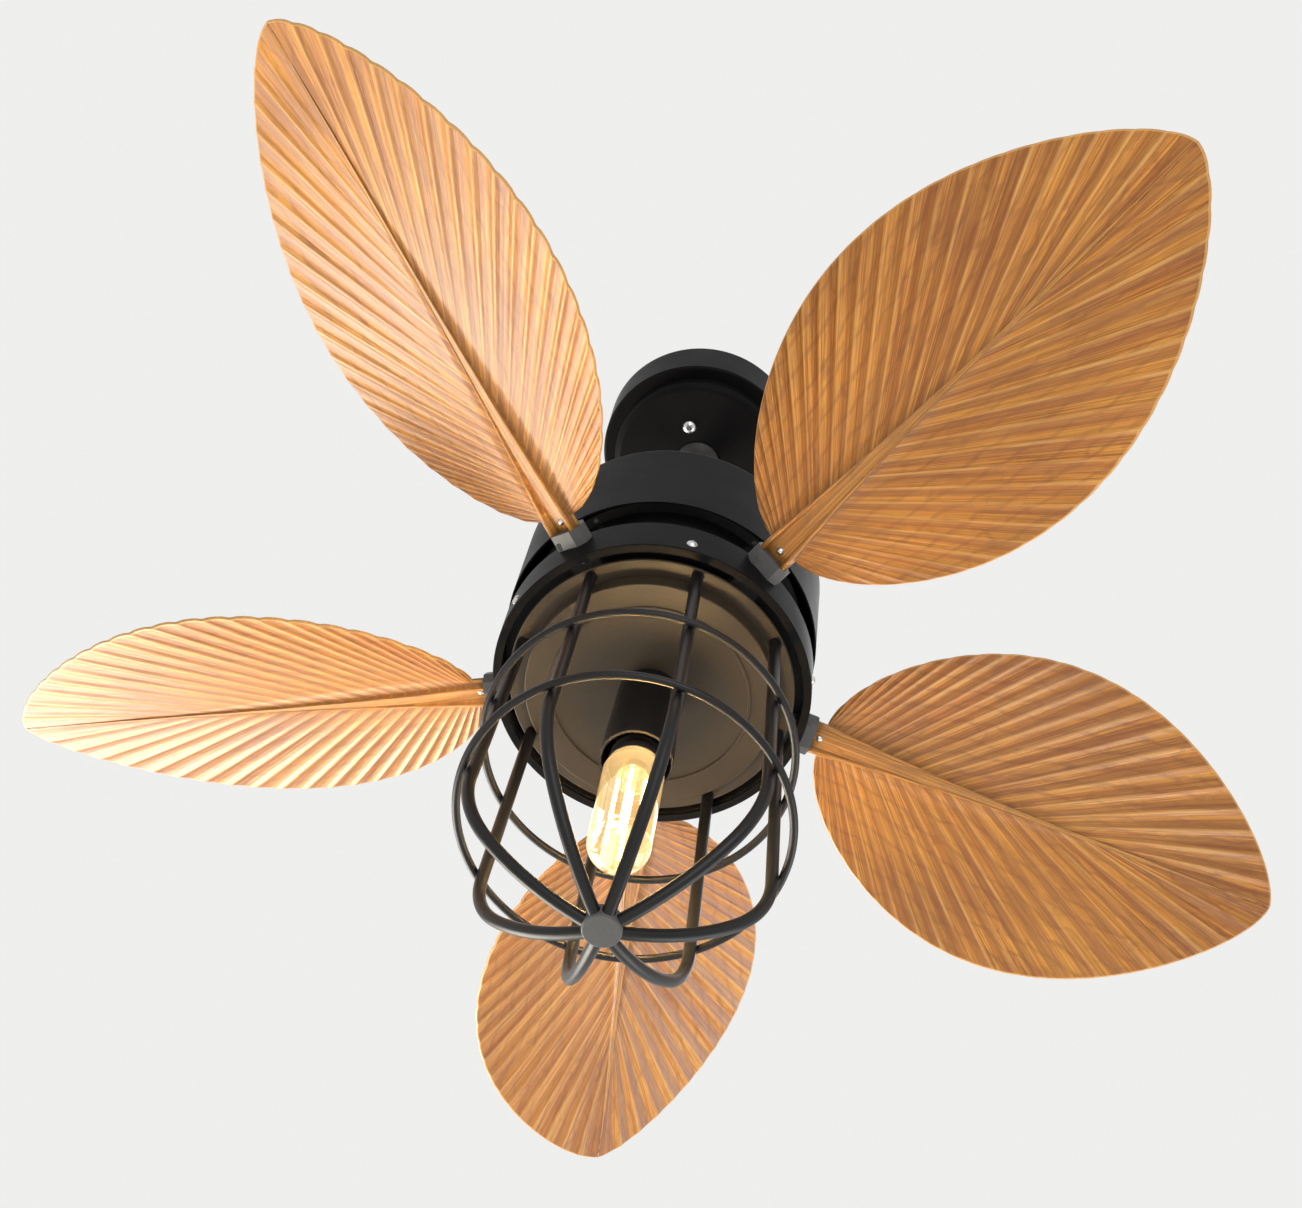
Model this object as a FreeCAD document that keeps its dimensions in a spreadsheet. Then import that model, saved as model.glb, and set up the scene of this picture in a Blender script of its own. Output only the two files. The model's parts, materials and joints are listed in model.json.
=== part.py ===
# Ceiling fan with five pleated leaf blades and a caged lamp, hung from a ball in a bracket.
# Millimetres and degrees. The origin is on the ceiling, on the fan's axis, and +Z points up.
import FreeCAD, Part
import Sketcher
import math
import os
from types import SimpleNamespace

# Driving sizes. A drop is a distance below the ceiling.
DRIVING_SIZES = {
    # ceiling bracket: a bent strap with two slots above and a ball seat below
    "bracket_length": 132,
    "bracket_width": 64,
    "bracket_sheet": 3,
    "bracket_leg_span": 82,
    "bracket_depth": 57.5,
    "bracket_slot_spacing": 104,
    "bracket_slot_width": 6.5,
    "bracket_slot_length": 14,
    "bracket_entry_room": 1,
    # hanger ball, its seat and its pin
    "ball_radius": 28,
    "ball_drop": 44,
    "ball_top_height": 24,
    "seat_clearance": 0.05,
    "tab_width": 6,
    "tab_reach": 5,
    "tab_clearance": 0.25,
    "groove_depth": 4.5,
    "pin_radius": 3,
    "ball_pin_length": 44,
    "ball_pin_rise": 8,
    # canopy
    "canopy_radius": 92,
    "canopy_rim_depth": 48,
    "canopy_step_radius": 80,
    "canopy_depth": 64,
    "canopy_sheet": 2,
    "canopy_rim_round": 2.5,
    "canopy_shoulder_round": 7,
    "canopy_gap": 1,
    "canopy_screw_circle": 37,
    "canopy_screw_azimuth": 248,
    "canopy_screw_head_radius": 6.5,
    "canopy_screw_head_height": 4,
    # screws: one shank for the whole fan
    "screw_radius": 2,
    "screw_head_radius": 4.2,
    "screw_head_height": 2.6,
    "screw_clearance": 0.05,
    # downrod and coupling
    "rod_radius": 13,
    "rod_wall": 2,
    "rod_top_drop": 24,
    "rod_clearance": 0.05,
    "coupling_radius": 18,
    "coupling_rise": 33,
    "coupling_step": 1,
    "coupling_flange_radius": 32,
    "coupling_flange_sheet": 5,
    "coupling_nose_radius": 15,
    "coupling_nose_length": 7,
    "coupling_pin_rise": 15,
    "coupling_pin_length": 40,
    "set_screw_rise": 26,
    "set_screw_radius": 2.5,
    "set_screw_length": 7,
    "drum_screw_circle": 26,
    # motor drum housing
    "drum_radius": 125,
    "drum_top_drop": 318,
    "drum_height": 103,
    "drum_sheet": 1.6,
    "drum_round": 5,
    # motor
    "shaft_radius": 8.5,
    "shaft_bore_radius": 5.5,
    "motor_room": 19.4,
    "rotor_room": 13,
    "rotor_wall": 4,
    "rotor_half_height": 53,
    "rotor_flange_sheet": 3,
    "rotor_screw_edge": 4,
    "rotor_shaft_hole": 13,
    "bearing_radius": 20,
    "bearing_width": 12,
    "bearing_inner_radius": 11.8,
    "bearing_outer_radius": 16.8,
    "bearing_ball_radius": 3.5,
    "bearing_clearance": 0.05,
    "bearing_groove_clearance": 0.1,
    "bearing_hub_wall": 6,
    "stator_radius": 72,
    "stator_height": 24,
    "stator_slot_width": 6,
    "stator_slot_depth": 26,
    "air_gap": 0.5,
    "winding_height": 15,
    "winding_inner_radius": 30,
    "winding_outer_radius": 66,
    # blade flywheel and band
    "band_radius": 124,
    "band_height": 38,
    "band_sheet": 2,
    "band_lip_width": 6.5,
    "band_round": 0.9,
    "band_fit": 0.1,
    "band_screw_rise": 11,
    "flywheel_sheet": 3,
    "flywheel_hole_radius": 30,
    "flywheel_skirt_height": 31,
    "flywheel_boss_radius": 8,
    "flywheel_boss_height": 11,
    "flywheel_boss_circle": 78,
    # blade holders
    "blade_azimuth": 14,
    "blade_pitch": 26,
    "blade_rise": 6,
    "blade_axis_depth": 5,
    "band_screw_azimuth": 44,
    "holder_reach": 12,
    "holder_half_width": 16,
    "holder_half_height": 10,
    "holder_corner": 6,
    "holder_tongue_width": 24,
    "holder_tongue_sheet": 10,
    "holder_tongue_length": 36,
    "holder_finger_width": 18,
    "holder_finger_length": 20,
    "holder_finger_sheet": 4,
    "holder_clearance": 0.1,
    "holder_screw_edge": 8,
    "holder_screw_step": 14,
    "blade_screw_step": 7,
    "blade_screw_head_radius": 3,
    "blade_screw_head_height": 1.8,
    # pleated leaf blades
    "blade_tip_radius": 560,
    "leaf_half_width": 128,
    "leaf_sheet": 3,
    "stem_half_width": 13,
    "stem_length": 10,
    "rib_end_half_width": 1.5,
    "rail_height": 7,
    "rail_end_height": 1.5,
    "pleat_depth": 3.5,
    "scallop_depth": 1.1,
    # light pan
    "pan_gap": 6.5,
    "pan_sheet": 2,
    "pan_step": 8,
    "pan_depth": 12.4,
    "bead_inset": 20,
    "bead_width": 3,
    "bead_height": 1.2,
    "bead_chamfer": 0.6,
    "nut_radius": 14,
    "nut_height": 6,
    # lamp holder
    "cup_top_radius": 24.5,
    "cup_rim_radius": 27.5,
    "cup_wall": 2,
    "cup_length": 95,
    "core_drop": 36.6,
    "core_radius": 19.5,
    "core_gap": 2,
    "core_wall": 6,
    "contact_radius": 4.5,
    "contact_height": 3,
    "shell_radius": 13.7,
    "shell_wall": 0.45,
    "shell_inset": 4,
    # bulb
    "cap_radius": 13.3,
    "cap_length": 28,
    "cap_tip_height": 3,
    "collar_radius": 20.5,
    "collar_length": 14,
    "glass_radius": 22.5,
    "glass_neck_radius": 20,
    "glass_neck_length": 8,
    "glass_length": 111,
    "glass_wall": 1,
    "glass_round": 16,
    "bulb_stem_radius": 9,
    "bulb_stem_tip_radius": 4,
    "bulb_stem_length": 14,
    "bulb_wire_radius": 0.8,
    "filament_radius": 1.5,
    "filament_circle": 10,
    "filament_azimuth": -10,
    "filament_length": 78,
    "filament_plate_radius": 12.5,
    "filament_plate_sheet": 2,
    # cage
    "bar_radius": 4.6,
    "bar_edge": 6,
    "bar_bow": 5.5,
    "bar_straight_length": 195,
    "bar_shoulder_bend": 86,
    "bar_shoulder_turn": 44,
    "bar_crown_bend": 175,
    "bar_azimuth": 9.5,
    "bar_end_depth": 1.5,
    "stud_radius": 2.5,
    "stud_length": 8,
    "stud_clearance": 0.05,
    "cage_nut_radius": 5,
    "cage_nut_height": 4,
    "ring_radius": 3,
    "ring_gap": 0.1,
    "upper_ring_depth": 91.5,
    "lower_ring_depth": 185,
    "hub_radius": 13.5,
    "hub_height": 12.5,
    "hub_round": 1.5,
    # cuts run past what they cut by this much
    "overrun": 2,
}

# Counts
BLADE_COUNT = 5
PLEAT_COUNT = 22
BAR_COUNT = 8
STATOR_SLOT_COUNT = 16
BEARING_BALL_COUNT = 8
FILAMENT_COUNT = 4
DRUM_SCREW_COUNT = 4
CANOPY_SCREW_COUNT = 2

# Shares that shape the leaf
OUTLINE_PEAK_SHARE = 0.918
OUTLINE_FULLNESS_SHARE = 0.65
RIB_END_SHARE = 0.7
RIB_TAPER_POWER = 2.4
RAIL_TAPER_POWER = 1.5
RAIL_WIDTH_SHARE = 0.3
RECESS_START_SHARE = 0.9
RECESS_END_SHARE = 0.15
RECESS_TAPER_POWER = 4
PLEAT_START_POWER = 2
OUTLINE_STEPS = 400

# Shares that shape the screws' sockets
SOCKET_RADIUS_SHARE = 0.5
SOCKET_DEPTH_SHARE = 0.6

FULL_TURN = 360.0
QUARTER_TURN = 90.0
HEX_SIDES = 6


class Size:
    """A length that keeps both its number and the sheet expression that gives it."""

    def __init__(self, text, number):
        self.text = text
        self.number = number

    def __float__(self):
        return float(self.number)

    def __neg__(self):
        return Size("-(%s)" % self.text, -self.number)

    def __add__(self, other):
        other = as_size(other)
        return Size("(%s + %s)" % (self.text, other.text), self.number + other.number)

    def __sub__(self, other):
        other = as_size(other)
        return Size("(%s - %s)" % (self.text, other.text), self.number - other.number)

    def __mul__(self, other):
        other = as_size(other)
        return Size("(%s * %s)" % (self.text, other.text), self.number * other.number)

    def __truediv__(self, other):
        other = as_size(other)
        return Size("(%s / %s)" % (self.text, other.text), self.number / other.number)


def as_size(value):
    """Return value as a Size; a plain number stands for itself."""
    if isinstance(value, Size):
        return value
    return Size(repr(float(value)), float(value))


ZERO = as_size(0)

doc = FreeCAD.newDocument("ceiling_fan")


def fill_sheet():
    """Write the driving sizes into the sheet and return them as Size values."""
    sheet = doc.addObject("Spreadsheet::Sheet", "Sizes")
    found = SimpleNamespace()
    for row, (name, number) in enumerate(DRIVING_SIZES.items(), 1):
        sheet.set("A%d" % row, name)
        sheet.set("B%d" % row, str(number))
        sheet.setAlias("B%d" % row, name)
        setattr(found, name, Size("Sizes." + name, number))
    doc.recompute()
    return found


size = fill_sheet()
finished = []


# Helpers


def bind(thing, **sizes):
    """Tie properties of an object to expressions."""
    for name, value in sizes.items():
        setattr(thing, name, float(value))
        thing.setExpression(name, as_size(value).text)
    return thing


def place(thing, x, y, z, rotation=None):
    """Put an object at a point given in Size values, turned by an optional rotation."""
    x, y, z = as_size(x), as_size(y), as_size(z)
    turn = rotation or FreeCAD.Rotation()
    thing.Placement = FreeCAD.Placement(FreeCAD.Vector(float(x), float(y), float(z)), turn)
    thing.setExpression("Placement.Base.x", x.text)
    thing.setExpression("Placement.Base.y", y.text)
    thing.setExpression("Placement.Base.z", z.text)
    return thing


def along(direction):
    """Return the rotation that turns +Z to a direction."""
    return FreeCAD.Rotation(FreeCAD.Vector(0, 0, 1), FreeCAD.Vector(*direction))


def on_circle(radius, azimuth):
    """Return x and y of a point on a circle, with the azimuth as a Size in degrees."""
    azimuth = as_size(azimuth)
    angle = math.radians(azimuth.number)
    x = radius * Size("cos(%s)" % azimuth.text, math.cos(angle))
    y = radius * Size("sin(%s)" % azimuth.text, math.sin(angle))
    return x, y


def box(name, low, high):
    """Make a box between two corners given in Size values."""
    low = [as_size(value) for value in low]
    high = [as_size(value) for value in high]
    thing = doc.addObject("Part::Box", name)
    bind(thing, Length=high[0] - low[0], Width=high[1] - low[1], Height=high[2] - low[2])
    return place(thing, *low)


def cylinder(name, radius, height, point, rotation=None):
    """Make a cylinder that starts at a point and runs along its own +Z."""
    thing = doc.addObject("Part::Cylinder", name)
    bind(thing, Radius=radius, Height=height)
    return place(thing, *point, rotation)


def cut(name, base, *tools):
    """Take tools away from a base."""
    tool = tools[0]
    if len(tools) > 1:
        tool = fuse(name + "_tools", *tools)
    thing = doc.addObject("Part::Cut", name)
    thing.Base = base
    thing.Tool = tool
    return thing


def fuse(name, *things):
    """Join objects into one."""
    thing = doc.addObject("Part::MultiFuse", name)
    thing.Shapes = list(things)
    return thing


def group(name, things):
    """Keep separate solids together under one name."""
    thing = doc.addObject("Part::Compound", name)
    thing.Links = list(things)
    return thing


def finish(name, thing):
    """Name a finished sub-part."""
    thing.Label = name
    finished.append((name, thing))
    return thing


def origin_plane(body, role):
    """Find one of a body's own origin planes."""
    for feature in body.Origin.OriginFeatures:
        if feature.Role == role:
            return feature
    raise ValueError(role)


def pin_point(sketch, line, axis, value):
    """Fix one coordinate of a line's first point, on the other axis or at a bound distance."""
    if value.number == 0:
        other_axis = -2 if axis == "X" else -1
        sketch.addConstraint(Sketcher.Constraint("PointOnObject", line, 1, other_axis))
        return
    constraint = Sketcher.Constraint("Distance" + axis, -1, 1, line, 1, value.number)
    number = sketch.addConstraint(constraint)
    sketch.setExpression("Constraints[%d]" % number, value.text)


def outline_sketch(body, name, role, outline):
    """Draw a closed outline of bound points on one of a body's origin planes."""
    sketch = body.newObject("Sketcher::SketchObject", name)
    sketch.AttachmentSupport = (origin_plane(body, role), [""])
    sketch.MapMode = "FlatFace"
    points = [(as_size(x), as_size(y)) for x, y in outline]
    count = len(points)
    for line in range(count):
        start = FreeCAD.Vector(float(points[line][0]), float(points[line][1]), 0)
        end_point = points[(line + 1) % count]
        end = FreeCAD.Vector(float(end_point[0]), float(end_point[1]), 0)
        sketch.addGeometry(Part.LineSegment(start, end), False)
    for line in range(count):
        sketch.addConstraint(Sketcher.Constraint("Coincident", line, 2, (line + 1) % count, 1))
    for line, (x, y) in enumerate(points):
        pin_point(sketch, line, "X", x)
        pin_point(sketch, line, "Y", y)
    return sketch


def turned(name, outline):
    """Make a body by turning an outline of (radius, height) points about the fan's axis."""
    body = doc.addObject("PartDesign::Body", name)
    sketch = outline_sketch(body, name + "_outline", "XZ_Plane", outline)
    turn = body.newObject("PartDesign::Revolution", name + "_turn")
    turn.Profile = (sketch, [""])
    turn.ReferenceAxis = (sketch, ["V_Axis"])
    turn.Angle = FULL_TURN
    body.Tip = turn
    return body


def rounded(body, radius, *circles):
    """Round a turned body's circular edges, each found by its (radius, height)."""
    doc.recompute()
    names = []
    for number, edge in enumerate(body.Shape.Edges, 1):
        curve = edge.Curve
        if not isinstance(curve, Part.Circle):
            continue
        for circle_radius, height in circles:
            same_radius = math.isclose(curve.Radius, float(circle_radius), abs_tol=1e-6)
            if same_radius and math.isclose(curve.Center.z, float(height), abs_tol=1e-6):
                names.append("Edge%d" % number)
    if len(names) != len(circles):
        raise ValueError("edges to round not found on " + body.Name)
    base = body.Tip
    fillet = body.newObject("PartDesign::Fillet", base.Name + "_round")
    fillet.Base = (base, names)
    bind(fillet, Radius=radius)
    body.Tip = fillet
    return body


def dome(radius, height):
    """Return the radius of the ball that a dome is cut from, and the latitude of the dome's edge."""
    ball = (radius * radius + height * height) / (height * 2)
    sine = (ball - height) / ball
    return ball, Size("asin(%s)" % sine.text, math.degrees(math.asin(sine.number)))


def beyond(point, direction, distance):
    """Return the place at a distance from a point along a direction."""
    return [as_size(value) + distance * part for value, part in zip(point, direction)]


def screw(name, point, direction, length,
          head_radius=size.screw_head_radius, head_height=size.screw_head_height):
    """Make a screw: a domed head with a hexagonal socket before a point, and a shank beyond it."""
    ball, latitude = dome(head_radius, head_height)
    backward = along([-value for value in direction])
    head = doc.addObject("Part::Sphere", name + "_head")
    bind(head, Radius=ball, Angle1=latitude)
    place(head, *beyond(point, direction, ball - head_height), backward)
    shank = cylinder(name + "_shank", size.screw_radius, length, point, along(direction))
    socket = doc.addObject("Part::Prism", name + "_socket")
    socket.Polygon = HEX_SIDES
    socket_depth = head_height * SOCKET_DEPTH_SHARE
    bind(socket, Circumradius=head_radius * SOCKET_RADIUS_SHARE, Height=socket_depth + size.overrun)
    place(socket, *beyond(point, direction, socket_depth - head_height), backward)
    return cut(name, fuse(name + "_blank", head, shank), socket)


def screw_hole(name, point, direction, length):
    """Make the cutter for a screw's hole, which runs past both ends."""
    start = beyond(point, direction, -size.overrun)
    radius = size.screw_radius + size.screw_clearance
    return cylinder(name, radius, length + size.overrun * 2, start, along(direction))


def azimuths(first, count):
    """Return evenly spaced azimuths as Size values."""
    return [as_size(first) + FULL_TURN / count * number for number in range(count)]


UP = (0, 0, 1)
DOWN = (0, 0, -1)

# Levels and fits that several pieces share
screw_hole_radius = size.screw_radius + size.screw_clearance
drum_top = -size.drum_top_drop
drum_inner_top = drum_top - size.drum_sheet
drum_bottom = drum_top - size.drum_height
coupling_step_top = drum_top + size.coupling_step
flange_bottom = drum_inner_top - size.coupling_flange_sheet
nose_bottom = flange_bottom - size.coupling_nose_length
coupling_pin_level = drum_top + size.coupling_pin_rise
set_screw_level = drum_top + size.set_screw_rise
rotor_top = drum_inner_top - size.motor_room
motor_middle = rotor_top - size.rotor_half_height
rotor_bottom = motor_middle - size.rotor_half_height
rotor_flange_radius = size.drum_radius - size.rotor_room
rotor_screw_circle = rotor_flange_radius - size.rotor_screw_edge
rotor_radius = rotor_screw_circle - size.rotor_screw_edge
band_top = rotor_bottom - size.flywheel_boss_height
band_bottom = band_top - size.band_height
web_bottom = band_top - size.flywheel_sheet
pan_bottom = band_bottom - size.pan_depth
pan_flange_top = band_bottom + size.pan_sheet
pan_floor_top = pan_bottom + size.pan_sheet
pan_flange_radius = size.band_radius - size.band_lip_width - size.pan_gap
bar_circle = pan_flange_radius - size.bar_edge
bar_shoulder_circle = bar_circle + size.bar_bow
pan_radius = bar_circle - size.pan_step
cup_floor = pan_bottom - size.cup_wall
lower_nut_bottom = cup_floor - size.nut_height
core_top = lower_nut_bottom - size.core_drop
shaft_hole_radius = size.shaft_radius + size.bearing_clearance
shaft_end = core_top - size.core_wall
core_floor = shaft_end - size.core_wall
contact_bottom = core_floor - size.contact_height
cap_shoulder = contact_bottom - size.cap_tip_height
cap_bottom = cap_shoulder - size.cap_length
core_bottom = cap_bottom + size.core_gap
collar_bottom = cap_bottom - size.collar_length
glass_bottom = collar_bottom - size.glass_length
blade_azimuths = azimuths(size.blade_azimuth, BLADE_COUNT)


# Ceiling bracket and canopy


def ball_seat(name, extra):
    """Make a sphere at the ball's centre, larger than the ball by a clearance."""
    sphere = doc.addObject("Part::Sphere", name)
    bind(sphere, Radius=size.ball_radius + extra)
    return place(sphere, ZERO, ZERO, -size.ball_drop)


def canopy_screw_places():
    """Return the places of the canopy screws on the canopy's lower face."""
    places = []
    for azimuth in azimuths(size.canopy_screw_azimuth, CANOPY_SCREW_COUNT):
        x, y = on_circle(size.canopy_screw_circle, azimuth)
        places.append((x, y, -size.canopy_depth))
    return places


def bracket_strap():
    """Pad the strap's side view: a plate above, two legs and the seat plate below."""
    half_length = size.bracket_length / 2
    leg_outer = size.bracket_leg_span / 2
    sheet = size.bracket_sheet
    depth = size.bracket_depth
    body = doc.addObject("PartDesign::Body", "bracket_strap")
    outline = [
        (-half_length, ZERO), (half_length, ZERO), (half_length, -sheet), (leg_outer, -sheet),
        (leg_outer, -depth), (-leg_outer, -depth), (-leg_outer, -sheet), (-half_length, -sheet),
    ]
    sketch = outline_sketch(body, "bracket_strap_outline", "YZ_Plane", outline)
    pad = body.newObject("PartDesign::Pad", "bracket_strap_pad")
    pad.Profile = (sketch, [""])
    pad.SideType = "Symmetric"
    bind(pad, Length=size.bracket_width)
    body.Tip = pad
    return body


def bracket_slot(name, y):
    """Make the cutter for one ceiling screw slot, centred at y and running along the strap."""
    radius = size.bracket_slot_width / 2
    half_straight = (size.bracket_slot_length - size.bracket_slot_width) / 2
    bottom = -size.bracket_sheet - size.overrun
    height = size.bracket_sheet + size.overrun * 2
    middle = box(name + "_middle", (-radius, y - half_straight, bottom),
                 (radius, y + half_straight, bottom + height))
    near = cylinder(name + "_near", radius, height, (ZERO, y - half_straight, bottom))
    far = cylinder(name + "_far", radius, height, (ZERO, y + half_straight, bottom))
    return fuse(name, middle, near, far)


def ceiling_bracket():
    """Make the bracket: strap, hollow between its legs, ball seat, rod entry and tab."""
    half_width = size.bracket_width / 2
    leg_inner = size.bracket_leg_span / 2 - size.bracket_sheet
    seat_top = size.bracket_sheet - size.bracket_depth
    hollow = box("bracket_hollow", (-half_width - size.overrun, -leg_inner, seat_top),
                 (half_width + size.overrun, leg_inner, -size.bracket_sheet))
    entry_half = size.rod_radius + size.bracket_entry_room
    entry = box("bracket_entry", (ZERO, -entry_half, -size.bracket_depth - size.overrun),
                (half_width + size.overrun, entry_half, seat_top + size.overrun))
    cutters = [hollow, entry, ball_seat("bracket_seat", size.seat_clearance)]
    for sign in (-1, 1):
        cutters.append(bracket_slot("bracket_slot_%d" % (sign + 2), size.bracket_slot_spacing / 2 * sign))
    for number, (x, y, z) in enumerate(canopy_screw_places()):
        cutters.append(screw_hole("bracket_hole_%d" % number, (x, y, z), UP, size.canopy_depth))
    seated = cut("bracket_seated", bracket_strap(), *cutters)
    tab_root = size.ball_radius + size.seat_clearance
    tab = box("bracket_tab", (-half_width, -size.tab_width / 2, -size.bracket_depth),
              (size.tab_reach - tab_root, size.tab_width / 2, seat_top))
    finish("ceiling_bracket", fuse("ceiling_bracket", seated, tab))


def canopy():
    """Turn the canopy's shell: rim wall, flat step, rounded shoulder and lower face."""
    sheet = size.canopy_sheet
    seat_height = size.canopy_depth - size.ball_drop
    opening = math.sqrt(size.ball_radius.number ** 2 - (seat_height.number - sheet.number) ** 2)
    drop_text = "(%s - %s)" % (seat_height.text, sheet.text)
    opening_text = "sqrt(%s ^ 2 - %s ^ 2)" % (size.ball_radius.text, drop_text)
    opening_radius = Size(opening_text, opening) + size.canopy_gap
    shell = turned("canopy_shell", [
        (size.canopy_radius, ZERO),
        (size.canopy_radius, -size.canopy_rim_depth),
        (size.canopy_step_radius, -size.canopy_rim_depth),
        (size.canopy_step_radius, -size.canopy_depth),
        (opening_radius, -size.canopy_depth),
        (opening_radius, sheet - size.canopy_depth),
        (size.canopy_step_radius - sheet, sheet - size.canopy_depth),
        (size.canopy_step_radius - sheet, sheet - size.canopy_rim_depth),
        (size.canopy_radius - sheet, sheet - size.canopy_rim_depth),
        (size.canopy_radius - sheet, ZERO),
    ])
    rounded(shell, size.canopy_rim_round, (size.canopy_radius, -size.canopy_rim_depth))
    rounded(shell, size.canopy_shoulder_round, (size.canopy_step_radius, -size.canopy_depth))
    inner_round = size.canopy_shoulder_round - sheet
    rounded(shell, inner_round, (size.canopy_step_radius - sheet, sheet - size.canopy_depth))
    holes = []
    screws = []
    length = size.canopy_depth - size.bracket_depth + size.bracket_sheet
    for number, point in enumerate(canopy_screw_places()):
        holes.append(screw_hole("canopy_hole_%d" % number, point, UP, sheet))
        screws.append(screw("canopy_screw_%d" % number, point, UP, length,
                            size.canopy_screw_head_radius, size.canopy_screw_head_height))
    finish("canopy", cut("canopy", shell, *holes))
    finish("canopy_screws", group("canopy_screws", screws))


# Hanger ball, downrod and coupling


def hanger_ball():
    """Make the ball: flat top, rod bore, pin hole and the groove that the bracket's tab keeps to."""
    ball = ball_seat("ball_sphere", ZERO)
    centre = -size.ball_drop
    reach = size.ball_radius + size.overrun
    top = box("ball_flat", (-reach, -reach, centre + size.ball_top_height), (reach, reach, centre + reach))
    bore_radius = size.rod_radius + size.rod_clearance
    bore = cylinder("ball_bore", bore_radius, reach * 2, (ZERO, ZERO, centre - reach))
    half_groove = size.tab_width / 2 + size.tab_clearance
    sideways = along((0, 1, 0))
    wheel_place = (ZERO, -half_groove, centre)
    wheel = cylinder("ball_groove_outer", reach, half_groove * 2, wheel_place, sideways)
    floor_radius = size.ball_radius - size.groove_depth
    floor = cylinder("ball_groove_floor", floor_radius, half_groove * 2, wheel_place, sideways)
    front = box("ball_groove_front", (ZERO, -reach, centre - reach), (reach, reach, centre + reach))
    groove = cut("ball_groove", wheel, floor, front)
    finish("hanger_ball", cut("hanger_ball", ball, top, bore, pin_hole("ball_pin_hole"), groove))


def pin_hole(name):
    """Make the cutter for the pin that crosses the ball and the downrod."""
    radius = size.pin_radius + size.screw_clearance
    half_length = size.ball_pin_length / 2
    height = size.ball_pin_rise - size.ball_drop
    return cylinder(name, radius, half_length * 2, (ZERO, -half_length, height), along((0, 1, 0)))


def ball_pin():
    """Make the cross pin that hangs the downrod in the ball."""
    half_length = size.ball_pin_length / 2
    height = size.ball_pin_rise - size.ball_drop
    pin = cylinder("ball_pin", size.pin_radius, half_length * 2,
                   (ZERO, -half_length, height), along((0, 1, 0)))
    finish("ball_pin", pin)


def coupling_cross_hole(name, radius, height, direction):
    """Make a cutter right across the coupling at a height."""
    reach = size.coupling_radius + size.overrun
    start = [-reach * part for part in direction]
    return cylinder(name, radius, reach * 2, (start[0], start[1], height), along(direction))


def downrod():
    """Make the hanging tube with its two cross holes."""
    top = -size.rod_top_drop
    length = top - coupling_step_top
    tube = cylinder("rod_tube", size.rod_radius, length, (ZERO, ZERO, coupling_step_top))
    bore_radius = size.rod_radius - size.rod_wall
    bore = cylinder("rod_bore", bore_radius, length + size.overrun * 2,
                    (ZERO, ZERO, coupling_step_top - size.overrun))
    lower_hole = coupling_cross_hole("rod_lower_hole", size.pin_radius + size.screw_clearance,
                                     coupling_pin_level, (1, 0, 0))
    finish("downrod", cut("downrod", tube, bore, pin_hole("rod_pin_hole"), lower_hole))


def coupling():
    """Make the coupling: socket for the rod above, flange under the drum, socket for the shaft."""
    rod_hole = size.rod_radius + size.rod_clearance
    body = turned("coupling_body", [
        (rod_hole, drum_top + size.coupling_rise),
        (size.coupling_radius, drum_top + size.coupling_rise),
        (size.coupling_radius, drum_inner_top),
        (size.coupling_flange_radius, drum_inner_top),
        (size.coupling_flange_radius, flange_bottom),
        (size.coupling_nose_radius, flange_bottom),
        (size.coupling_nose_radius, nose_bottom),
        (shaft_hole_radius, nose_bottom),
        (shaft_hole_radius, coupling_step_top),
        (rod_hole, coupling_step_top),
    ])
    pin_cut = coupling_cross_hole("coupling_pin_hole", size.pin_radius + size.screw_clearance,
                                  coupling_pin_level, (1, 0, 0))
    set_cut = coupling_cross_hole("coupling_set_hole", size.set_screw_radius + size.screw_clearance,
                                  set_screw_level, (0, 1, 0))
    holes = [pin_cut, set_cut]
    for number, (x, y) in enumerate(drum_screw_places()):
        length = size.drum_sheet + size.coupling_flange_sheet
        holes.append(screw_hole("coupling_hole_%d" % number, (x, y, drum_top), DOWN, length))
    finish("coupling", cut("coupling", body, *holes))
    half_pin = size.coupling_pin_length / 2
    pin = cylinder("coupling_pin", size.pin_radius, size.coupling_pin_length,
                   (-half_pin, ZERO, coupling_pin_level), along((1, 0, 0)))
    finish("coupling_pin", pin)
    set_screws = []
    for sign in (-1, 1):
        start = (size.rod_radius + size.rod_clearance) * sign
        set_screws.append(cylinder("set_screw_%d" % (sign + 2), size.set_screw_radius, size.set_screw_length,
                                   (ZERO, start, set_screw_level), along((0, sign, 0))))
    finish("coupling_set_screws", group("coupling_set_screws", set_screws))


# Drum housing


def drum_screw_places():
    """Return x and y of the screws that hold the drum on the coupling's flange."""
    return [on_circle(size.drum_screw_circle, azimuth) for azimuth in azimuths(ZERO, DRUM_SCREW_COUNT)]


def drum_housing():
    """Turn the drum's shell, closed above and open below, and make its screws."""
    hole_radius = size.coupling_radius + size.band_fit
    shell = turned("drum_shell", [
        (hole_radius, drum_top),
        (size.drum_radius, drum_top),
        (size.drum_radius, drum_bottom),
        (size.drum_radius - size.drum_sheet, drum_bottom),
        (size.drum_radius - size.drum_sheet, drum_inner_top),
        (hole_radius, drum_inner_top),
    ])
    rounded(shell, size.drum_round, (size.drum_radius, drum_top))
    inner_round = size.drum_round - size.drum_sheet
    rounded(shell, inner_round, (size.drum_radius - size.drum_sheet, drum_inner_top))
    holes = []
    screws = []
    length = size.drum_sheet + size.coupling_flange_sheet
    for number, (x, y) in enumerate(drum_screw_places()):
        holes.append(screw_hole("drum_hole_%d" % number, (x, y, drum_top), DOWN, length))
        screws.append(screw("drum_screw_%d" % number, (x, y, drum_top), DOWN, length))
    finish("drum_housing", cut("drum_housing", shell, *holes))
    finish("drum_screws", group("drum_screws", screws))


# Motor


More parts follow.
